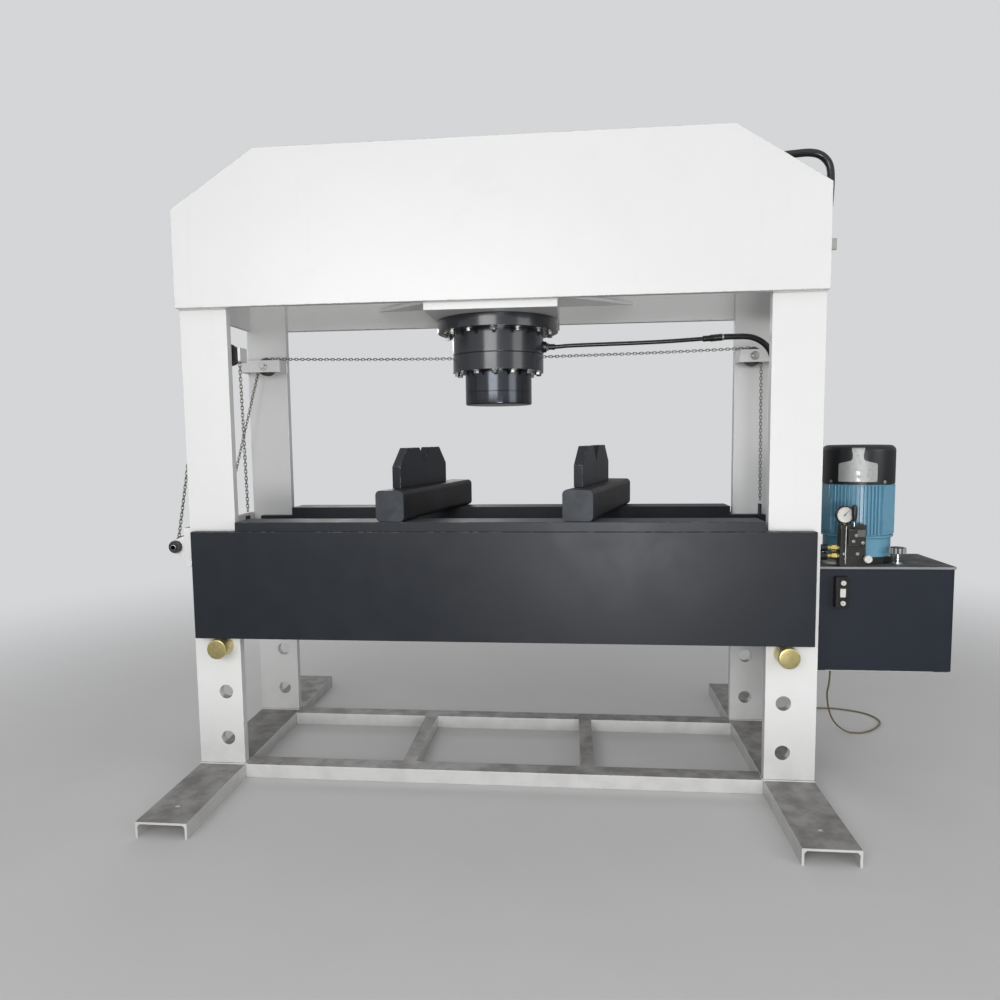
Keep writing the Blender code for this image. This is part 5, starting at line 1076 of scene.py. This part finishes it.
def motor_pieces():
    axis = (MOTOR_X, MOTOR_Y, 0.0)
    inner, outer = MOTOR_RADIUS, MOTOR_RADIUS + FIN_HEIGHT
    outline = motor_outline(60, PAD_ANGLES, inner, outer, PAD_HALF)
    ribs = [(MOTOR_X + r * math.cos(math.radians(a)), MOTOR_Y + r * math.sin(math.radians(a)), MOTOR_BOTTOM + 0.006)
            for a, r in outline]
    body = slab(ribs, (0, 0, MOTOR_TOP - MOTOR_BOTTOM - 0.012))
    ends = []
    for low in (MOTOR_BOTTOM, MOTOR_TOP - 0.008):
        ends.append(turned([(0.0, low), (inner + 0.002, low), (inner + 0.005, low + 0.002),
                            (inner + 0.005, low + 0.006), (inner + 0.002, low + 0.008), (0.0, low + 0.008)],
                           axis, "Z", 72))
    pads = [motor_pad(pad, outer) for pad in PAD_ANGLES]
    box = slab([(x, 0.609, z) for x, z in rounded(1.880, 2.010, 1.360, 1.480, 0.010, 5)], (0, 0.074, 0))
    soften(box, 0.004, 3, 50.0)
    lid = slab([(x, 0.6785, z) for x, z in rounded(1.884, 2.006, 1.364, 1.476, 0.008, 5)], (0, 0.0045, 0))
    screws = [bolt((x, 0.683, z), (0, 1, 0), 0.008, 0.004, 0.001) for x in (1.894, 1.996) for z in (1.374, 1.466)]
    gland = [rod((1.915, 0.665, 1.362), (1.915, 0.665, 1.346), 0.013, 0.001, 24),
             hexagon((1.915, 0.665, 1.352), (1.915, 0.665, 1.346), 0.0225),
             rod((1.915, 0.665, 1.347), (1.915, 0.665, 1.334), 0.0105, 0.003, 24)]
    piece("motor_ribbed_body", "frame", (body, "motor_teal"), (ends, "motor_teal"),
          (pads, "motor_teal"), (box, "motor_teal"), (lid, "motor_teal"),
          (screws, "bolt_steel"), (gland, "plastic_black"), replaces=("motor_body",), smooth=24.0)


def motor_pad(angle, outer):
    """A cast pad that covers the ribs: broad below, narrower above, with a slope between."""
    reach = math.sqrt(outer ** 2 - PAD_HALF ** 2)
    low, step, top = 1.303, 1.472, 1.5505
    shape = [(-PAD_HALF, low), (PAD_HALF, low), (PAD_HALF, step), (PAD_HALF - 0.018, step + 0.016),
             (PAD_HALF - 0.018, top), (-PAD_HALF + 0.018, top), (-PAD_HALF + 0.018, step + 0.016), (-PAD_HALF, step)]
    turn = Matrix.Translation((MOTOR_X, MOTOR_Y, 0)) @ Matrix.Rotation(math.radians(angle), 4, "Z")
    bm = slab([turn @ Vector((reach - 0.014, u, z)) for u, z in shape],
              turn.to_3x3() @ Vector((0.0172, 0, 0)))
    return soften(bm, 0.0022, 2, 30.0)


def cowl_pieces():
    """The fan's cover: a rolled shell with a domed edge, a grille of rings and spokes, and the type plate."""
    axis = (MOTOR_X, MOTOR_Y, 0.0)
    r, low, top, thin, arc, steps, mouth = COWL_RADIUS, MOTOR_TOP + GAP, COWL_TOP, 0.003, COWL_ARC, 8, 0.120
    line = [(r, low), (r, top - arc)]
    for k in range(1, steps + 1):
        a = math.pi / 2 * k / steps
        line.append((r - arc + arc * math.cos(a), top - arc + arc * math.sin(a)))
    line += [(mouth, top), (mouth, top - thin), (r - arc, top - thin)]
    for k in range(steps, 0, -1):
        a = math.pi / 2 * k / steps
        line.append((r - arc + (arc - thin) * math.cos(a), top - arc + (arc - thin) * math.sin(a)))
    line += [(r - thin, top - arc), (r - thin, low)]
    shell = turned(line, axis, "Z", 96, closed=True)
    grille = []
    for ring in (0.022, 0.042, 0.062, 0.082, 0.102, 0.1195):
        grille.append(turned([(ring - 0.0018, top - 0.0035), (ring + 0.0018, top - 0.0035), (ring + 0.0018, top),
                              (ring - 0.0018, top)], axis, "Z", 72, closed=True))
    for k in range(8):
        a = math.pi * k / 8 + 0.2
        c, s = mouth * math.cos(a), mouth * math.sin(a)
        grille.append(rod((MOTOR_X - c, MOTOR_Y - s, top - 0.0035), (MOTOR_X + c, MOTOR_Y + s, top - 0.0035), 0.0016,
                          0.0003, 8))
    plate = hugging_plate()
    screws = []
    for u, z in ((0.0, 1.578), (0.0, 1.614)):
        spot, out = cowl_spot(u, z, r + 0.0022)
        screws.append(bolt(spot, out, 0.011, 0.004, 0.0012))
    for k in range(4):
        a = math.radians(FACING + 45 + 90 * k)
        out = Vector((math.cos(a), math.sin(a), 0))
        spot = Vector((MOTOR_X, MOTOR_Y, low + 0.012)) + out * r
        screws.append(bolt(spot, out, 0.010, 0.005, 0.0012))
    piece("fan_cowl_shell", "frame", (shell, "cowl_black"), (grille, "cowl_black"),
          (plate, "plate_silver"), (screws, "bolt_steel"), replaces=("fan_cowl",), smooth=40.0)


def cowl_spot(u, z, radius):
    """A point on the cowl, u metres round from the side that faces the front left, and the way out there."""
    a = math.radians(FACING) + u / COWL_RADIUS
    out = Vector((math.cos(a), math.sin(a), 0.0))
    return Vector((MOTOR_X, MOTOR_Y, z)) + out * radius, out


def hugging_plate():
    """A thin bottle-shaped plate bent to the cowl's curve."""
    rows = [(1.568, 0.092), (1.5705, 0.095), (1.657, 0.095), (1.664, 0.090), (1.671, 0.060), (1.679, 0.033),
            (1.688, 0.026), (1.710, 0.025), (1.732, 0.029), (1.741, 0.032), (1.745, 0.030)]
    bm, across = fresh(), 16
    sheets = []
    for radius in (COWL_RADIUS + 0.0022, COWL_RADIUS + 0.0004):
        grid = []
        for z, half in rows:
            lift = max(0.0, z - (COWL_TOP - COWL_ARC))
            pull = COWL_ARC - math.sqrt(max(0.0, COWL_ARC ** 2 - lift ** 2))
            grid.append([bm.verts.new(cowl_spot(half * (2 * k / across - 1), z, radius - pull)[0])
                         for k in range(across + 1)])
        sheets.append(grid)
    for grid in sheets:
        for a, b in zip(grid, grid[1:]):
            for k in range(across):
                bm.faces.new((a[k], a[k + 1], b[k + 1], b[k]))
    front, back = sheets
    for i in range(len(rows) - 1):
        for k in (0, across):
            bm.faces.new((front[i][k], front[i + 1][k], back[i + 1][k], back[i][k]))
    for i in (0, -1):
        for k in range(across):
            bm.faces.new((front[i][k], front[i][k + 1], back[i][k + 1], back[i][k]))
    return bm


BELL_FLANGE = 0.036


def bell_pieces():
    """The housing between the motor and the lid, its foot ring and its bolts."""
    low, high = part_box("bell_housing")
    base, top = low.z, high.z
    axis = (MOTOR_X, MOTOR_Y, 0.0)
    seat = base + BELL_FLANGE
    line = [(0.150, top), (0.150, seat), (0.1690, seat), (0.1700, seat + 0.001), (0.1700, seat + 0.007),
            (0.1680, seat + 0.009), (0.1665, seat + 0.012), (0.1665, top - 0.016), (0.176, top - 0.012),
            (0.178, top - 0.010), (0.178, top - 0.0015), (0.1765, top)]
    feet = []
    for k in range(8):
        a = math.radians(FACING + 22.5 + 45 * k)
        spot = (MOTOR_X + 0.1735 * math.cos(a), MOTOR_Y + 0.1735 * math.sin(a), seat)
        feet.append(bolt(spot, (0, 0, 1), 0.0085, 0.005, 0.0010, 0.3 * k))
    ring = turned([(0.150, seat), (0.150, base), (0.1765, base), (0.178, base + 0.0015), (0.178, seat - 0.0015),
                   (0.1765, seat)], axis, "Z", 96, closed=True)
    piece("bell_housing_cast", "frame", (turned(line, axis, "Z", 96, closed=True), "motor_teal"),
          (ring, "cowl_black"), (feet, "bolt_steel"), replaces=("bell_housing",), smooth=38.0)


# The valve and its fittings

def valve_pieces():
    front, back, base = VALVE_FRONT, VALVE_BACK, LID_TOP + GAP
    body = soften(block((VALVE_LEFT, front, base), (VALVE_RIGHT, back, VALVE_TOP)), 0.003, 3)
    lower = block((VALVE_LEFT - 0.002, front - 0.001, base), (VALVE_RIGHT + 0.002, back + 0.001, base + 0.045))
    soften(lower, 0.002, 2)
    spool = block((VALVE_LEFT + 0.030, SPOOL_FRONT, base + 0.110), (VALVE_RIGHT - 0.012, front + 0.004, SPOOL_TOP))
    soften(spool, 0.004, 3)
    relief = rod((1.907, front + 0.010, 1.178), (1.907, front, 1.178), 0.016, 0.002, 32)
    square = soften(block((1.852, SPOOL_FRONT - 0.0012, 1.293), (1.891, SPOOL_FRONT + 0.012, 1.3290)), 0.002, 2)
    drain = rod((1.8035, 0.2015, 1.149), (1.8035, 0.2015, 1.346), 0.0036, 0.0006, 16)
    glints = []
    for x, y, z in ((1.847, SPOOL_FRONT, 1.300), (1.834, SPOOL_FRONT, 1.270), (1.880, SPOOL_FRONT, 1.262),
                    (1.865, front, 1.201), (1.800, front, 1.201)):
        glints.append(bolt((x, y, z), (0, -1, 0), 0.0085, 0.0035, 0.0008, x))
    unions = []
    for z in FITTING_Z:
        unions.append(rod((1.7335, VALVE_Y, z), (1.783, VALVE_Y, z), 0.0125, 0.001, 28))
        unions.append(hexagon((1.741, VALVE_Y, z), (1.7655, VALVE_Y, z), 0.0345, 0.2))
        unions.append(rod((FITTING_X, VALVE_Y, z), (1.7415, VALVE_Y, z), 0.0135, 0.001, 28))
        unions.append(turned([(0.0126, -0.002), (0.0155, -0.001), (0.0155, 0.005), (0.0126, 0.006)],
                             (1.7715, VALVE_Y, z), "X", 32, closed=True))
    stem = rod((GAUGE_X, VALVE_Y, VALVE_TOP - 0.003), (GAUGE_X, VALVE_Y, GAUGE_Z - GAUGE_RADIUS - GAP), 0.0068,
               0.0008, 24)
    nut = hexagon((GAUGE_X, VALVE_Y, VALVE_TOP), (GAUGE_X, VALVE_Y, VALVE_TOP + 0.0045), 0.0155)
    piece("valve_body", "frame", (body, "valve_black"), (lower, "valve_black"), (spool, "valve_black"),
          (square, "cap_grey"), (glints, "bolt_steel"), (unions, "brass"),
          (joined(stem, nut), "brass"), (relief, "bolt_steel"), (drain, "bolt_steel"), replaces=("valve_block",),
          smooth=30.0)


DIAL_STEPS = 40


def gauge_pieces():
    """Case, pale dial with its marks, bezel and glass-like face; the needle is a piece of its own."""
    (_, face, _), (_, back, _) = placed("gauge_case")
    r = GAUGE_RADIUS
    centre = (GAUGE_X, 0.0, GAUGE_Z)
    case = turned([(0.0, back), (r - 0.006, back), (r - 0.002, back - 0.002), (r - 0.001, back - 0.006),
                   (r - 0.001, face + 0.006), (r, face + 0.005), (r, face + 0.001), (r - 0.001, face),
                   (r - 0.0045, face), (r - 0.0055, face + 0.001), (r - 0.006, face + 0.0055), (0.0, face + 0.0055)],
                  centre, "Y", 64)
    dial_y = face + 0.0052
    dial = turned([(0.0, dial_y), (r - 0.0062, dial_y)], centre, "Y", 64)
    marks = []
    for k in range(DIAL_STEPS + 1):
        a = math.radians(225 - 270 * k / DIAL_STEPS)
        inner, thick = (0.0315, 0.0007) if k % 5 == 0 else (0.0345, 0.00035)
        c, s = math.cos(a), math.sin(a)
        start = Vector((GAUGE_X + inner * c, dial_y - 0.0002, GAUGE_Z + inner * s))
        end = Vector((GAUGE_X + 0.0375 * c, dial_y - 0.0002, GAUGE_Z + 0.0375 * s))
        side = Vector((-s, 0, c)) * thick
        marks.append(slab([start - side, end - side, end + side, start + side], (0, 0.0003, 0)))
    piece("gauge_case_turned", "frame", (case, "plastic_black"), (dial, "dial_white"),
          (marks, "plastic_black"), replaces=("gauge_case",), smooth=35.0)
    low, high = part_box("gauge_needle")
    y = (low.y + high.y) / 2 - TO_FRAME.y
    a = math.radians(90 - 42)
    c, s = math.cos(a), math.sin(a)
    shape = [(-0.011, -0.0016), (0.020, -0.0009), (0.031, -0.0002), (0.031, 0.0002), (0.020, 0.0009), (-0.011, 0.0016)]
    needle = slab([(GAUGE_X + u * c - v * s, y - 0.0004, GAUGE_Z + u * s + v * c) for u, v in shape], (0, 0.0008, 0))
    hub = rod((GAUGE_X, y + 0.0006, GAUGE_Z), (GAUGE_X, y - 0.0016, GAUGE_Z), 0.0035, 0.0005, 24)
    piece("gauge_needle_cut", "gauge_needle", (needle, "plastic_black"), (hub, "plastic_black"),
          replaces=("gauge_needle",))


def lever_and_knobs():
    (x0, y0, base), (x1, y1, top) = placed("valve_lever")
    x, y = (x0 + x1) / 2, (y0 + y1) / 2
    stem = turned([(0.0, 0.0), (0.0017, 0.0005), (0.0026, 0.0013), (0.0034, 0.0026), (0.0038, 0.0040),
                   (0.0038, top - base - 0.080), (0.0, top - base - 0.080)], (x, y, base), "Z", 20)
    grip = turned([(0.0, 0.0), (0.0075, 0.0), (0.008, 0.002), (0.0085, 0.008), (0.0125, 0.026), (0.0135, 0.036),
                   (0.0135, 0.070), (0.0128, 0.078), (0.0105, 0.084), (0.006, 0.0875), (0.0, 0.0885)],
                  (x, y, top - 0.0885), "Z", 36)
    boot = turned([(0.0, 0.0), (0.0042, 0.0), (0.0042, 0.003), (0.0058, 0.006), (0.0048, 0.009), (0.0056, 0.012),
                   (0.0042, 0.015), (0.0, 0.016)], (x, y, base + 0.001), "Z", 24)
    piece("valve_lever_turned", "valve_lever", (stem, "chrome"), (grip, "plastic_black"), (boot, "plastic_black"),
          replaces=("valve_lever",), smooth=40.0)

    (x0, near, z0), (x1, far, z1) = placed("relief_knob")
    x, z, r = (x0 + x1) / 2, (z0 + z1) / 2, (x1 - x0) / 2
    line = [(0.0, near), (r - 0.004, near), (r - 0.0012, near + 0.0012), (r, near + 0.004), (r, near + 0.018),
            (r - 0.002, near + 0.021), (0.011, near + 0.022), (0.0095, near + 0.024), (0.0095, far - 0.001),
            (0.0085, far), (0.0, far)]
    piece("relief_knob_turned", "relief_knob", (turned(line, (x, 0.0, z), "Y", 48), "button_pale"),
          replaces=("relief_knob",), smooth=40.0)

    (x0, y0, base), (x1, y1, top) = placed("filler_breather")
    x, y, r = (x0 + x1) / 2, (y0 + y1) / 2, (x1 - x0) / 2
    line = [(0.0, base), (0.0255, base), (0.026, base + 0.0008), (0.026, base + 0.0055), (0.0245, base + 0.006),
            (0.021, base + 0.0065), (0.021, base + 0.009), (0.0135, base + 0.010), (0.0125, base + 0.014),
            (0.0125, top - 0.036), (0.0155, top - 0.033), (0.0155, top - 0.0310), (0.0, top - 0.0310)]
    core = turned([(0.0, top - 0.0308), (r - 0.008, top - 0.0308), (r - 0.006, top - 0.029), (r - 0.006, top - 0.002),
                   (r - 0.009, top), (0.0, top)], (x, y, 0.0), "Z", 48)
    ribs = []
    for k in range(12):
        turn = Matrix.Translation((x, y, 0.0)) @ Matrix.Rotation(math.radians(FACING + 15 + 30 * k), 4, "Z")
        rib = block((r - 0.012, -0.0058, top - 0.0308), (r - 0.0003, 0.0058, top - 0.0015))
        soften(rib, 0.002, 3)
        bmesh.ops.transform(rib, matrix=turn, verts=rib.verts)
        ribs.append(rib)
    piece("breather_turned", "filler_breather", (turned(line, (x, y, 0.0), "Z", 56), "chrome"),
          (core, "plastic_black"), (ribs, "plate_silver"), replaces=("filler_breather",), smooth=40.0)


def button_station():
    """The switch box on the tank: its rim, two pale buttons in collars and a small window between them."""
    (x0, near, z0), (x1, far, z1) = placed("button_box")
    x, z, half, tall = BUTTON_X, BUTTON_BOX_Z, (x1 - x0) / 2, (z1 - z0) / 2
    case = slab([(px, near + 0.004, pz) for px, pz in rounded(x - half, x + half, z - tall, z + tall, 0.006, 5)],
                (0, far - near - 0.004, 0))
    soften(case, 0.001, 2, 50.0)
    front = slab([(px, near, pz) for px, pz in rounded(x - half + 0.004, x + half - 0.004, z - tall + 0.004,
                                                       z + tall - 0.004, 0.006, 5)], (0, 0.005, 0))
    soften(front, 0.0015, 2, 50.0)
    window = slab([(px, near - 0.0008, pz)
                   for px, pz in rounded(x - 0.0135, x + 0.0135, z - 0.022, z + 0.022, 0.002, 3)], (0, 0.002, 0))
    collars = []
    for name in ("start_button", "stop_button"):
        (b0, rise, low), (b1, back, high) = placed(name)
        bz, r = (low + high) / 2, (b1 - b0) / 2
        collars.append(turned([(0.0134, near + 0.003), (0.0165, near + 0.001), (0.0165, near - 0.0015),
                               (0.0155, near - 0.0025), (0.0140, near - 0.0025), (0.0134, near - 0.0015)],
                              (x, 0.0, bz), "Y", 40, closed=True))
        cap = turned([(0.0, rise + 0.0006), (0.004, rise + 0.0005), (r - 0.0030, rise), (r - 0.0008, rise + 0.0006),
                      (r, rise + 0.0025), (r, back), (0.0, back)], (x, 0.0, bz), "Y", 40)
        if name == "start_button":
            mark = slab([(x - 0.0007, rise - 0.0001, bz - 0.004), (x + 0.0007, rise - 0.0001, bz - 0.004),
                         (x + 0.0007, rise - 0.0001, bz + 0.004), (x - 0.0007, rise - 0.0001, bz + 0.004)],
                        (0, 0.0009, 0))
        else:
            mark = turned([(0.0030, rise - 0.0001), (0.0042, rise - 0.0001), (0.0042, rise + 0.0009),
                           (0.0030, rise + 0.0009)], (x, 0.0, bz), "Y", 28, closed=True)
        piece(name + "_cap", name, (cap, "button_pale"), (mark, "plastic_black"), replaces=(name,), smooth=35.0)
    piece("button_station_case", "frame", (case, "plastic_black"), (front, "plastic_black"),
          (window, "button_pale"), (collars, "plastic_black"), replaces=("button_box",), smooth=32.0)


# The hydraulic lines

def lines():
    y, valve_y = MIDDLE_Y, VALVE_Y
    join = 2.340
    rigid = smooth_path([(0.2803, y, PORT_Z), (0.3303, y, PORT_Z), (0.42, y, 2.319), (0.86, y, 2.327),
                         (1.150, y, join)], 0.030)
    bent = smooth_path([(1.150, y, join), (1.26, y, join + 0.006), (1.38, y, join - 0.004), (1.462, y, join - 0.070),
                        (1.490, y, join - 0.200), (1.495, y - 0.02, 1.90), (1.500, y - 0.05, 1.60),
                        (1.500, y - 0.08, 1.42), (1.530, valve_y + 0.09, 1.320), (1.590, valve_y + 0.035, 1.245),
                        (1.655, valve_y, FITTING_Z[0]), (FITTING_X - GAP, valve_y, FITTING_Z[0])], 0.012)
    piece("pressure_pipe", "frame", (tube(rigid, 0.011, 24), "hose_black"), (
        joined(ferrule(rigid[0], rigid[1], 0.016, 0.034), ferrule(rigid[-1], rigid[-2], 0.016, 0.040)), "hose_black"),
        (joined(hexagon(rigid[0] + Vector((0.004, 0, 0)), rigid[0] + Vector((0.020, 0, 0)), 0.030)), "bolt_steel"),
        replaces=("pressure_line",), smooth=40.0)
    flex = hose("pressure_hose", bent, 0.0160, "hose_black")
    ends = piece("pressure_hose_ends", "frame",
                 (joined(ferrule(bent[0], bent[4], 0.0188, 0.060), ferrule(bent[-1], bent[-5], 0.0188, 0.055)),
                  "hose_black"), (joined(band_on(bent, 0.070, 0.0180)), "bolt_steel"), smooth=40.0)
    tuple(bent[0] + TO_FRAME)
    round(length_of(bent), 3)

    top = 3.1103
    run = smooth_path([(0.0, y, top), (0.0, y, top + 0.040), (0.050, y - 0.004, 3.200), (0.30, y - 0.05, 3.205),
                       (0.90, 0.34, 3.207), (1.35, 0.30, 3.222), (1.52, 0.30, 3.236), (1.62, 0.30, 3.238),
                       (1.680, 0.30, 3.212), (1.712, 0.30, 3.150), (1.712, 0.30, 3.00), (1.690, 0.30, 2.75),
                       (1.668, 0.30, 2.40), (1.640, 0.30, 2.00), (1.600, 0.30, 1.62), (1.568, valve_y + 0.010, 1.40),
                       (1.572, valve_y - 0.010, 1.265), (1.605, valve_y - 0.012, 1.192), (1.665, valve_y, FITTING_Z[1]),
                       (FITTING_X - GAP, valve_y, FITTING_Z[1])], 0.012)
    flex = hose("return_hose_run", run, 0.0190, "hose_black", replaces=("return_hose",))
    level = min(range(len(run)), key=lambda k: abs(run[k].z - 2.783) + (0.0 if run[k].x > 1.68 else 9.0))
    collar = aimed(turned([(0.0192, -0.018), (0.0215, -0.019), (0.0245, -0.017), (0.0245, 0.017), (0.0215, 0.019),
                           (0.0192, 0.018)], (0, 0, 0), "Z", 40, closed=True), run[level], run[level + 1])
    ear = soften(block((run[level].x + 0.018, 0.292, 2.754), (run[level].x + 0.060, 0.308, 2.812)), 0.004, 3)
    ends = piece("return_hose_ends", "frame",
                 (joined(ferrule(run[0], run[3], 0.0215, 0.040), ferrule(run[-1], run[-5], 0.0215, 0.045)),
                  "hose_black"), (joined(collar, ear), "clamp_grey"), smooth=40.0)
    tuple(run[0] + TO_FRAME)
    round(length_of(run), 3)


def ferrule(start, towards, radius, length):
    """The crimped end of a hose, with two grooves."""
    line = [(0.0, 0.0), (radius - 0.0015, 0.0), (radius, 0.0015)]
    for groove in ((0.30, 0.32, 0.36, 0.38), (0.62, 0.64, 0.68, 0.70)):
        line += [(radius - deep, share * length) for share, deep in zip(groove, (0.0, 0.001, 0.001, 0.0))]
    line += [(radius, length - 0.002), (radius - 0.002, length), (0.0, length)]
    return aimed(turned(line, (0, 0, 0), "Z", 36), start, towards)


def band_on(points, run, radius):
    """A narrow clip round a hose, so far along it."""
    gone = 0.0
    for a, b in zip(points, points[1:]):
        gone += (b - a).length
        if gone > run:
            return aimed(turned([(radius - 0.003, 0.0), (radius, 0.0), (radius, 0.009), (radius - 0.003, 0.009)],
                                (0, 0, 0), "Z", 36, closed=True), a, b)


# Pins

def support_pin(name):
    """A pin that carries the bed; its head is at the outside, which is the back for the rear pins."""
    (x0, near, z0), (x1, far, z1) = placed(name)
    x, z, sign = (x0 + x1) / 2, (z0 + z1) / 2, 1
    head, length, shaft = 0.0525, 0.090, 0.0365
    if name.startswith("pin_rear"):
        near, far, sign = far, near, -1
    line = [(0.0, near), (head - 0.007, near), (head - 0.002, near + sign * 0.002), (head, near + sign * 0.007),
            (head, near + sign * (length - 0.003)), (head - 0.003, near + sign * length),
            (shaft + 0.002, near + sign * length), (shaft, near + sign * (length + 0.002)),
            (shaft, far - sign * 0.006), (shaft - 0.002, far - sign * 0.002), (shaft - 0.006, far), (0.0, far)]
    piece(name + "_turned", name, (turned(line, (x, 0.0, z), "Y", 64), "pin_yellow_zinc"), replaces=(name,),
          smooth=35.0)


# Surfaces of the nodes that keep their own shape

def dress(node, look):
    made = NODES[node]
    made.data.materials.clear()
    made.data.materials.append(LOOKS[look])


frame_pieces()
frame_welds()
bed_pieces()
loose_bar("bar_left", -0.520, math.radians(12.5))
loose_bar("bar_right", 0.430, math.radians(15.0))
cylinder_pieces()
gland_and_ram()
bracket("bracket_front_left", -1.596, -1.320, COLUMN_THICKNESS + GAP, 0.100, 1, FRONT_SHEAVES)
bracket("bracket_rear_left", -COLUMN_OUTER, -COLUMN_INNER, REAR - GAP, 0.114, -1, REAR_SHEAVES[:1])
bracket("bracket_rear_right", COLUMN_INNER, COLUMN_OUTER, REAR - GAP, 0.114, -1, REAR_SHEAVES[1:])
for name, sheave_x in zip(("front_inner", "front_outer", "rear_left", "rear_right"), FRONT_SHEAVES + REAR_SHEAVES):
    sheave("sheave_" + name, sheave_x)
chains()
tank_pieces()
motor_pieces()
cowl_pieces()
bell_pieces()
valve_pieces()
gauge_pieces()
lever_and_knobs()
button_station()
lines()
for corner in CORNERS:
    support_pin("pin_" + corner)

dress("motor_rotor", "rotor_steel")
winding()


# The floor and the light

PALE = (0.66, 0.67, 0.68, 1.0)
FLOOR_BOUNCE = (0.28, 0.275, 0.27, 1.0)


def floor_material():
    """Pale and shadowed near the press, and the surround's own tone far from it."""
    made = bpy.data.materials.new("pale_floor")
    made.use_nodes = True
    tree = made.node_tree
    shader = tree.nodes["Principled BSDF"]
    where = taken(tree, "TexCoord", "Object")
    seen = taken(tree, "LightPath", "Is Camera Ray")
    pale = (where.noise(2.0, 6.0) * 0.06 + 0.97).shading((0.60, 0.60, 0.59, 1.0))
    feed(tree, shader.inputs["Base Color"], seen.between(FLOOR_BOUNCE, pale))
    shader.inputs["Roughness"].default_value = 0.8
    shader.inputs["Specular IOR Level"].default_value = 0.2
    away = taken(tree, "VectorMath", "Value", {0: where}, operation="LENGTH")
    plain = taken(tree, "Emission", "Emission", {"Color": PALE})
    near = Given(tree, shader.outputs["BSDF"])
    blend = taken(tree, "MixShader", "Shader", {0: away.rise(2.6, 7.5) * seen, 1: near, 2: plain})
    feed(tree, tree.nodes["Material Output"].inputs["Surface"], blend)
    return made


def make_floor():
    bm = fresh()
    size, sides = 60.0, 48
    turn = [2 * math.pi * k / sides for k in range(sides)]
    bm.faces.new([bm.verts.new((size * math.cos(a), size * math.sin(a), 0.0)) for a in turn])
    mesh = bpy.data.meshes.new("floor")
    bm.to_mesh(mesh)
    bm.free()
    mesh.materials.append(floor_material())
    floor = bpy.data.objects.new("floor", mesh)
    bpy.context.collection.objects.link(floor)


def make_world():
    """Pale to the camera; for light and reflections a dim hall that is brighter overhead and in front."""
    world = bpy.data.worlds.new("pale_surround")
    bpy.context.scene.world = world
    world.use_nodes = True
    tree = world.node_tree
    where = taken(tree, "TexCoord", "Generated")
    level = where.part("Y").rise(0.4, -0.9, 0.42) + where.part("Z").rise(-0.2, 0.9, 0.05) + 0.32
    hall = taken(tree, "CombineColor", "Color", {"Red": level, "Green": level, "Blue": level * 1.03})
    seen = taken(tree, "LightPath", "Is Camera Ray")
    feed(tree, tree.nodes["Background"].inputs["Color"], seen.between(hall, PALE))


make_floor()
make_world()
softbox("wide_key", (-1.7, -6.6, 3.2), (0.1, 0.2, 1.7), 3.9, 2.3, 145.0)
softbox("low_key", (1.1, -6.3, 0.70), (0.5, 0.0, 1.5), 1.8, 1.1, 110.0)
softbox("right_fill", (5.6, -3.6, 2.6), (1.6, 0.3, 1.3), 3.0, 2.4, 50.0)
softbox("rear_fill", (-2.4, 7.4, 4.2), (0.0, 0.8, 1.5), 3.4, 2.2, 85.0)
bpy.context.scene.view_settings.view_transform = "Standard"
